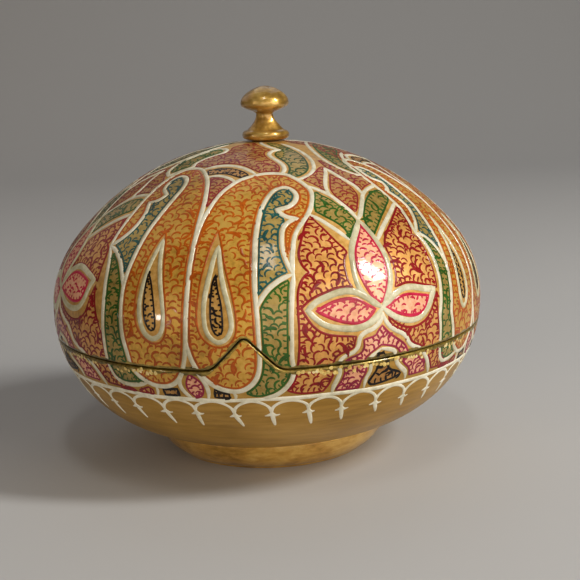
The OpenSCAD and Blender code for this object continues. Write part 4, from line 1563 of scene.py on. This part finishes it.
def arch_lines(seed):
    """The row of arches and barbed drops painted freehand under the cream line, as
    (turn, climb, closed, pressure)."""
    draw = random.Random(seed)
    pitch = 360 / ARCHES
    feet = [ARCH_START + pitch * i + draw.uniform(-0.45, 0.45) for i in range(ARCHES)]
    low = [draw.uniform(-0.4, 0.4) for _ in feet]
    lines = []

    def stroke(points, press):
        turn, climb = on_chart(points, False, ARCH_STEP)
        way = np.linspace(0, 1, len(turn))
        lines.append((turn, climb, False, np.interp(way, *zip(*press))))

    for i, foot in enumerate(feet):
        far = feet[(i + 1) % ARCHES] + (360 if i == ARCHES - 1 else 0)
        top = draw.uniform(-0.15, 0.15)
        leg = [(foot + (far - foot) * x,
                y + (low[i] * (1 - x) + low[(i + 1) % ARCHES] * x) * abs(2 * x - 1) ** 2
                + top * (1 - abs(2 * x - 1))) for x, y in ARCH_LEG]
        stroke(leg, [(0, 0.85), (0.2, 0.68), (0.5, 0.82), (0.8, 0.62), (1, 0.8)])
        y, end, lean = -12 + low[i], draw.uniform(-18.7, -17.5), draw.uniform(0.6, 1.9)
        stroke([(foot, y + 0.4), (foot + 0.05, y - 0.5), (foot + 0.2, y - 1.5),
                (foot + lean * 0.6, (y + end) / 2 - 0.9), (foot + lean, end)],
               [(0, 0.7), (0.2, 0.75), (0.36, 1.0), (0.6, 0.95), (0.85, 0.7), (1, 0.42)])
        tip = draw.uniform(0.8, 1.15)
        stroke([(foot + 0.1, y - 1.15), (foot + tip, y - 1.6 - 0.2 * tip),
                (foot + 1.95 * tip, y - 1.5)], [(0, 0.95), (0.45, 0.85), (1, 0.26)])
        tip = draw.uniform(0.75, 1.1)
        stroke([(foot + 0.15, y - 1.2), (foot - 0.75 * tip, y - 1.75),
                (foot - 1.6 * tip, y - 1.95)], [(0, 0.95), (0.5, 0.7), (1, 0.24)])
    return lines


# ------------------------------------------------------------------ stage
CAMERA_TURN = 4.8
CAMERA_HEIGHT_ANGLE = 11.44
CAMERA_ROLL = -2.37
CAMERA_DISTANCE = 360.0
CAMERA_AIM = (6.75, 0.0, 45.2)
PHOTO_SIDE = 580
FOCAL_PIXELS = 1215.9
SENSOR = 36.0
# Soft panels: turn, height over the floor in degrees, distance, width and height of the
# panel in metres, power and colour. They are aimed at a point up the box's axis.
AIM_Z = 0.05
LIGHTS = {
    "soft_key": (56, 20, 1.2, 0.9, 0.9, 6.4, "#FFF4E6"),
    "soft_fill": (-38, 16, 1.5, 0.9, 0.9, 1.6, "#FFEEDA"),
    "low_front": (14, 10, 1.4, 0.8, 0.8, 3.2, "#FFF2E4"),
    "window": (73, 39, 1.0, 0.13, 0.3, 6.6, "#FFFFFF"),
    "roof_window": (9, 67, 1.2, 0.1, 0.36, 1.2, "#FFFFFF"),
    "lamp": (-51, 10, 1.4, 0.08, 0.08, 1.0, "#FFF4F0"),
    "veil": (-122, 38, 1.4, 1.2, 1.2, 1.8, "#F4E2D4"),
    "pale_wall": (180, 52, 1.5, 1.1, 1.1, 2.2, "#DCE6F6"),
}


def place_camera():
    """The camera at the photograph's distance, height, tilt and field of view."""
    tip, roll = math.radians(CAMERA_HEIGHT_ANGLE), math.radians(CAMERA_ROLL)
    back = Vector((0, -math.cos(tip), math.sin(tip)))
    up = Vector((0, math.sin(tip), math.cos(tip)))
    right = Vector((1, 0, 0))
    r = right * math.cos(roll) + up * math.sin(roll)
    u = -right * math.sin(roll) + up * math.cos(roll)
    turn = Matrix.Rotation(math.radians(CAMERA_TURN), 4, "Z")
    axes = Matrix((r, u, back)).transposed().to_4x4()
    where = Matrix.Translation((Vector(CAMERA_AIM) + back * CAMERA_DISTANCE) * MM)
    data = bpy.data.cameras.new("photo_camera")
    data.sensor_width = SENSOR
    data.lens = FOCAL_PIXELS * SENSOR / PHOTO_SIDE
    data.clip_start = 0.01
    camera = bpy.data.objects.new("photo_camera", data)
    camera.matrix_world = turn @ where @ axes
    bpy.context.scene.collection.objects.link(camera)
    bpy.context.scene.camera = camera


def soft_light(name, turn, height, distance, wide, tall, power, colour):
    """A rectangular studio light aimed at the box. Turn 0 is in front, 90 at +X."""
    data = bpy.data.lights.new(name, "AREA")
    data.shape = "RECTANGLE"
    data.size, data.size_y = wide, tall
    data.energy = power
    data.color = linear(colour)[:3]
    a, e = math.radians(turn), math.radians(height)
    spot = Vector((math.sin(a) * math.cos(e), -math.cos(a) * math.cos(e), math.sin(e)))
    light = bpy.data.objects.new(name, data)
    light.location = spot * distance + Vector((0, 0, AIM_Z))
    light.rotation_euler = spot.to_track_quat("Z", "Y").to_euler()
    bpy.context.scene.collection.objects.link(light)


# ------------------------------------------------------------------ the add-on
def length(name, description, default, low, high):
    """A size in millimetres, held in metres."""
    return bpy.props.FloatProperty(name=name, description=description, default=default * MM,
                                   min=low * MM, max=high * MM, subtype="DISTANCE",
                                   unit="LENGTH", precision=5)


def colour(name, description, hex_colour):
    """A colour, given as sRGB hex and held as linear RGBA."""
    return bpy.props.FloatVectorProperty(name=name, description=description, subtype="COLOR",
                                         size=4, min=0, max=1, default=linear(hex_colour))


class PaintedBoxGround(bpy.types.PropertyGroup):
    """The gold ground, and the turned pieces' hand-made unevenness."""
    lid_gold: colour("Lid gold", "Colour of the gold paint on the lid",
                     PAINTS["gold_paint_ground"].colour)
    bowl_gold: colour("Bowl gold", "Colour of the gold paint on the bowl",
                      PAINTS["gold_paint_bowl"].colour)
    foot_sway: length("Foot unevenness", "How far the foot ring's side strays", 0.12, 0, 0.5)
    knob_sway: length("Knob unevenness", "How lumpy the gilded knob is", 0.3, 0, 0.6)
    knob_aside: length("Knob aside", "How far the knob's head stands off its peg", 1.5, 0, 2)


class PaintedBoxLines(bpy.types.PropertyGroup):
    """Raised chalk outlines."""
    cream: colour("Cream", "Colour of the raised cream outlines",
                  PAINTS["cream_gesso_line"].colour)
    cream_width: length("Cream width", "Width of the raised cream outlines", 1.2, 0.6, 2.5)
    cream_height: length("Cream height", "Height of the cream outlines", 0.17, 0.1, 0.3)
    border_climb: bpy.props.FloatProperty(
        name="Border line", description="Millimetres from the parting line down to the cream "
        "line round the bowl", default=8.3, min=6.0, max=12.0)
    roundness: bpy.props.IntProperty(
        name="Roundness", description="Points across a line's rounded top", default=7, min=4,
        max=16)


class PaintedBoxStrokes(bpy.types.PropertyGroup):
    """Brush strokes in the colour fields."""
    scale: bpy.props.FloatProperty(name="Stroke size", description="Scales all brush strokes",
                                   default=1.0, min=0.5, max=2.0)
    margin: bpy.props.FloatProperty(
        name="Margin", description="Millimetres left bare inside a field's border line",
        default=0.75, min=0.2, max=2.0)
    seed: bpy.props.IntProperty(name="Seed", description="Lays the strokes out anew",
                                default=11, min=0)


class PaintedBoxStage(bpy.types.PropertyGroup):
    """Floor and lights."""
    floor_colour: colour("Floor colour", "Colour of the pale floor", "#B6B5B2")
    floor_size: bpy.props.FloatProperty(name="Floor", description="Side of the pale floor",
                                        default=5.0, min=1.0, max=20.0, unit="LENGTH")
    light_power: bpy.props.FloatProperty(name="Light", description="Scales all studio lights",
                                         default=1.0, min=0.1, max=5.0)


class PaintedBoxSettings(bpy.types.PropertyGroup):
    """All settings of the painted box."""
    ground: bpy.props.PointerProperty(type=PaintedBoxGround, name="Ground",
                                      description="Gold ground and turned pieces")
    lines: bpy.props.PointerProperty(type=PaintedBoxLines, name="Lines",
                                     description="Raised outlines")
    strokes: bpy.props.PointerProperty(type=PaintedBoxStrokes, name="Strokes",
                                       description="Brush strokes")
    stage: bpy.props.PointerProperty(type=PaintedBoxStage, name="Stage",
                                     description="Floor and lights")


def finished(made):
    """An operator's result, or an error that stops the script."""
    if not made:
        raise RuntimeError("nothing was made")
    return {"FINISHED"}


class PAINTEDBOX_OT_shells(bpy.types.Operator):
    """Makes the lid and the bowl with their chalk ground and worn rims"""
    bl_idname = "painted_box.shells"
    bl_label = "Lid and bowl"

    def execute(self, context):
        ground = context.scene.painted_box.ground
        edge, lacquer = paint("rubbed_rim"), paint("black_lacquer_on_card")
        lid = shell("painted_lid", "lid", paint("gold_paint_ground", ground.lid_gold[:]),
                    edge, lacquer)
        bowl = shell("painted_bowl", "base", paint("gold_paint_bowl", ground.bowl_gold[:]),
                     edge, lacquer)
        for obj, body, cad in ((lid, "lid", "lid_shell"), (bowl, "base", "base_shell")):
            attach(obj, body)
            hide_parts(cad)
        return finished([lid, bowl])


class PAINTEDBOX_OT_foot(bpy.types.Operator):
    """Turns the gold foot ring"""
    bl_idname = "painted_box.foot"
    bl_label = "Foot ring"

    def execute(self, context):
        sway = context.scene.painted_box.ground.foot_sway / MM
        foot = turned("gilt_foot", foot_profile(), paint("gold_powder_foot"), 192, sway, 5)
        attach(foot, "base")
        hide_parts("foot_ring")
        return finished(foot)


class PAINTEDBOX_OT_knob(bpy.types.Operator):
    """Turns the lumpy gold knob with its peg"""
    bl_idname = "painted_box.knob"
    bl_label = "Knob"

    def execute(self, context):
        ground = context.scene.painted_box.ground
        knob = turned("gilt_knob", knob_profile(), paint("gold_powder_knob"), 96,
                      ground.knob_sway / MM, 9, ground.knob_aside / MM / CROWN_R)
        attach(knob, "lid")
        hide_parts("knob")
        return finished(knob)


class PAINTEDBOX_OT_hidden(bpy.types.Operator):
    """Lacquers the collar and the disc inside the box"""
    bl_idname = "painted_box.hidden"
    bl_label = "Collar and disc"

    def execute(self, context):
        for cad in ("inner_collar", "knob_backing_disc"):
            obj = frame["nodes"][cad]
            obj.data.materials.clear()
            obj.data.materials.append(paint("black_lacquer_on_card"))
        return {"FINISHED"}


class PAINTEDBOX_OT_fields(bpy.types.Operator):
    """Lays the washes of colour in the pattern's fields"""
    bl_idname = "painted_box.fields"
    bl_label = "Colour fields"

    def execute(self, context):
        washes = {}
        for family, fields in family_loops().items():
            if family != "heart":
                washes.setdefault(FAMILIES[family].wash, []).extend(fields)
        for wash, fields in washes.items():
            parts = []
            for loop, holes in fields:
                turn, climb, tris, _ = patch([loop] + holes)
                parts.append((on_box(turn, climb, WASH_LIFT), tris.tolist()))
            settle(wash, *merged(parts), paint(wash))
        return finished(washes)


class PAINTEDBOX_OT_brushwork(bpy.types.Operator):
    """Paints the fields' coloured lines, the teeth along them and the strokes inside"""
    bl_idname = "painted_box.brushwork"
    bl_label = "Brushwork"

    def execute(self, context):
        sizes = context.scene.painted_box.strokes
        unit = MM * sizes.scale
        sweep, comb, scatter = line_tree(), teeth_tree(), stroke_tree()
        for n, (family, fields) in enumerate(family_loops().items()):
            style, lines = FAMILIES[family], []
            for i, (loop, holes) in enumerate(fields):
                for j, (turn, climb) in enumerate([loop] + holes):
                    press = pressure(len(turn), True, SEEDS["family"] * n + i)
                    lines.append((turn, climb, True, press, -1 if j else 1))
            gouache = paint(style.gouache)
            parts = [run_tree(path_object(lines, LINE_LIFT), sweep, {
                "Width": style.line * MM, "Height": FINE_LINE_H * MM, "Roundness": 5,
                "Material": gouache})]
            # Teeth stand across the line, so they lean a quarter turn from its own way
            parts.append(run_tree(path_object(lines, WASH_LIFT, style.tooth * 0.45), comb, {
                "Spacing": style.teeth * MM, "Length": style.tooth * unit,
                "Width": style.width * 0.9 * unit, "Curl": 0.9, "Lean": math.pi / 2,
                "Unevenness": 0.5, "Lift": 0.015 * MM,
                "Seed": sizes.seed + SEEDS["teeth"] + n, "Material": gouache}))
            stroke = {
                "Spacing": style.spacing * MM, "Length": style.length * unit,
                "Width": style.width * unit, "Curl": style.curl, "Lean": style.lean,
                "Unevenness": style.uneven, "Margin": sizes.margin, "Lift": 0.02 * MM,
                "Seed": sizes.seed + n, "Material": gouache}
            patches = [patch([loop] + holes) for loop, holes in fields]
            if style.rows:
                spots = row_object(fields, WASH_LIFT, style.spacing, style.rows,
                                   SEEDS["rows"] + n)
                parts.append(run_tree(spots, scatter, {**stroke, "In Rows": True}))
            else:
                parts.append(run_tree(field_object(patches, WASH_LIFT), scatter, stroke))
            if style.heavy:
                parts.append(run_tree(field_object(patches, WASH_LIFT), scatter, {
                    **stroke, "Spacing": style.heavy * MM, "Curl": style.curl * 0.5,
                    "Width": stroke["Width"] * 1.5, "Length": stroke["Length"] * 1.15,
                    "Unevenness": ANY_WAY, "Lift": 0.03 * MM,
                    "Seed": sizes.seed + SEEDS["heavy"] + n}))
            settle(f"{family}_brushwork", *merged(parts), gouache)
        return finished(parts)


class PAINTEDBOX_OT_outlines(bpy.types.Operator):
    """Raises the chalk outlines and the bowl's border of arches"""
    bl_idname = "painted_box.outlines"
    bl_label = "Outlines"

    def execute(self, context):
        sizes = context.scene.painted_box.lines
        lines = [(turn, climb, closed, pressure(len(turn), closed, i))
                 for i, (turn, climb, closed) in enumerate(cream_lines())]
        # The border's line strays up and down, as a line turned by hand does
        turn = np.arange(0, 360, 0.75)
        sway = 0.14 * np.sin(np.radians(turn * 7)) + 0.1 * np.sin(np.radians(turn * 19 + 40))
        border = [(turn, sway - sizes.border_climb, True,
                   pressure(len(turn), True, SEEDS["border"]))]
        border += arch_lines(SEEDS["arches"])
        broad = [(turn, climb, closed, pressure(len(turn), closed, SEEDS["broad"] + i) * width)
                 for i, (turn, climb, closed, width) in enumerate(sage_lines())]
        sweep = line_tree()
        # The arched border's cream is whiter than the outlines' as painted light from the floor's
        # bounce
        for name, chalk, drawing in (
                ("cream_outlines", paint("cream_gesso_line", sizes.cream[:]), lines),
                ("sage_outlines", paint("sage_gesso_line"), broad),
                ("arched_border", paint("border_white_painted_light"), border)):
            verts, faces = run_tree(path_object(drawing, -PAINT_T), sweep, {
                "Width": sizes.cream_width, "Height": sizes.cream_height,
                "Roundness": sizes.roundness, "Material": chalk})
            settle(name, verts, faces, chalk)
        return finished(lines)


class PAINTEDBOX_OT_chips(bpy.types.Operator):
    """Chips the paint along the bowl's rim down to flecks of gilding, their pale yellow partly a
    painted glint
    """
    bl_idname = "painted_box.chips"
    bl_label = "Chipped rim"

    def execute(self, context):
        # The flecks are real chipped gilding, and their near-white yellow is partly a painted glint
        gilding = paint("bare_gilding_painted_glint")
        verts, faces = run_tree(field_object(chipped_bands(), CHIP_LIFT), stroke_tree(), {
            "Spacing": 0.7 * MM, "Length": 0.95 * MM, "Width": 0.95 * MM, "Curl": 0.8,
            "Lean": 0.4, "Unevenness": ANY_WAY, "Margin": NO_MARGIN, "Lift": 0.03 * MM,
            "Seed": context.scene.painted_box.strokes.seed + SEEDS["chips"],
            "Material": gilding})
        chips = new_object("bowl_gilding_chips_painted_glint", verts, faces, [gilding])
        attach(chips, "base")
        return finished(faces)


class PAINTEDBOX_OT_stage(bpy.types.Operator):
    """Sets the pale floor, the soft lights and the camera"""
    bl_idname = "painted_box.stage"
    bl_label = "Stage"

    def execute(self, context):
        stage = context.scene.painted_box.stage
        half = stage.floor_size / 2 / MM
        pale, *_ = finish_shell("pale_paper_sweep", Roughness=0.75,
                                Base_Color=stage.floor_colour[:])
        # A paper sweep: floor, a round bend behind the box, and a wall
        rise = half * 0.35
        path = [(-half, 0.0)] + [(half - rise * 2 + rise * math.sin(a), rise * (1 - math.cos(a)))
                                 for a in np.linspace(0, math.pi / 2, 24)]
        path.append((half - rise, rise * 3))
        verts = [(x, y, z) for y, z in path for x in (-half, half)]
        faces = [(2 * i, 2 * i + 1, 2 * i + 3, 2 * i + 2) for i in range(len(path) - 1)]
        floor = new_object("floor", verts, faces, [pale])
        world = bpy.data.worlds.new("pale_studio")
        world.use_nodes = True
        back = world.node_tree.nodes["Background"]
        back.inputs["Color"].default_value = linear("#EFE4D6")
        back.inputs["Strength"].default_value = 0.07
        context.scene.world = world
        context.scene.view_settings.view_transform = "Standard"
        for name, (*place, power, colour) in LIGHTS.items():
            soft_light(name, *place, power * stage.light_power, colour)
        place_camera()
        return {"FINISHED"}


class PAINTEDBOX_PT_panel(bpy.types.Panel):
    """Lists the box's settings and the steps that make it"""
    bl_label = "Painted Box"
    bl_idname = "PAINTEDBOX_PT_panel"
    bl_space_type = "VIEW_3D"
    bl_region_type = "UI"
    bl_category = "Painted Box"

    def draw(self, context):
        settings = context.scene.painted_box
        for group in (settings.ground, settings.lines, settings.strokes, settings.stage):
            box = self.layout.box()
            for prop in group.bl_rna.properties:
                if prop.identifier not in ("rna_type", "name"):
                    box.prop(group, prop.identifier)
        for step in STEPS:
            self.layout.operator(step.bl_idname)


STEPS = [
    PAINTEDBOX_OT_shells, PAINTEDBOX_OT_foot, PAINTEDBOX_OT_knob, PAINTEDBOX_OT_hidden,
    PAINTEDBOX_OT_fields, PAINTEDBOX_OT_brushwork, PAINTEDBOX_OT_outlines,
    PAINTEDBOX_OT_chips, PAINTEDBOX_OT_stage,
]
CLASSES = [
    PaintedBoxGround, PaintedBoxLines, PaintedBoxStrokes, PaintedBoxStage,
    PaintedBoxSettings, *STEPS, PAINTEDBOX_PT_panel,
]


def register():
    for cls in CLASSES:
        bpy.utils.register_class(cls)
    bpy.types.Scene.painted_box = bpy.props.PointerProperty(
        type=PaintedBoxSettings, name="Painted box", description="Settings of the painted box")


def unregister():
    del bpy.types.Scene.painted_box
    for cls in reversed(CLASSES):
        bpy.utils.unregister_class(cls)


def main():
    """Makes the whole box."""
    register()
    for step in STEPS:
        group, name = step.bl_idname.split(".")
        getattr(getattr(bpy.ops, group), name)()


if __name__ == "__main__":
    main()
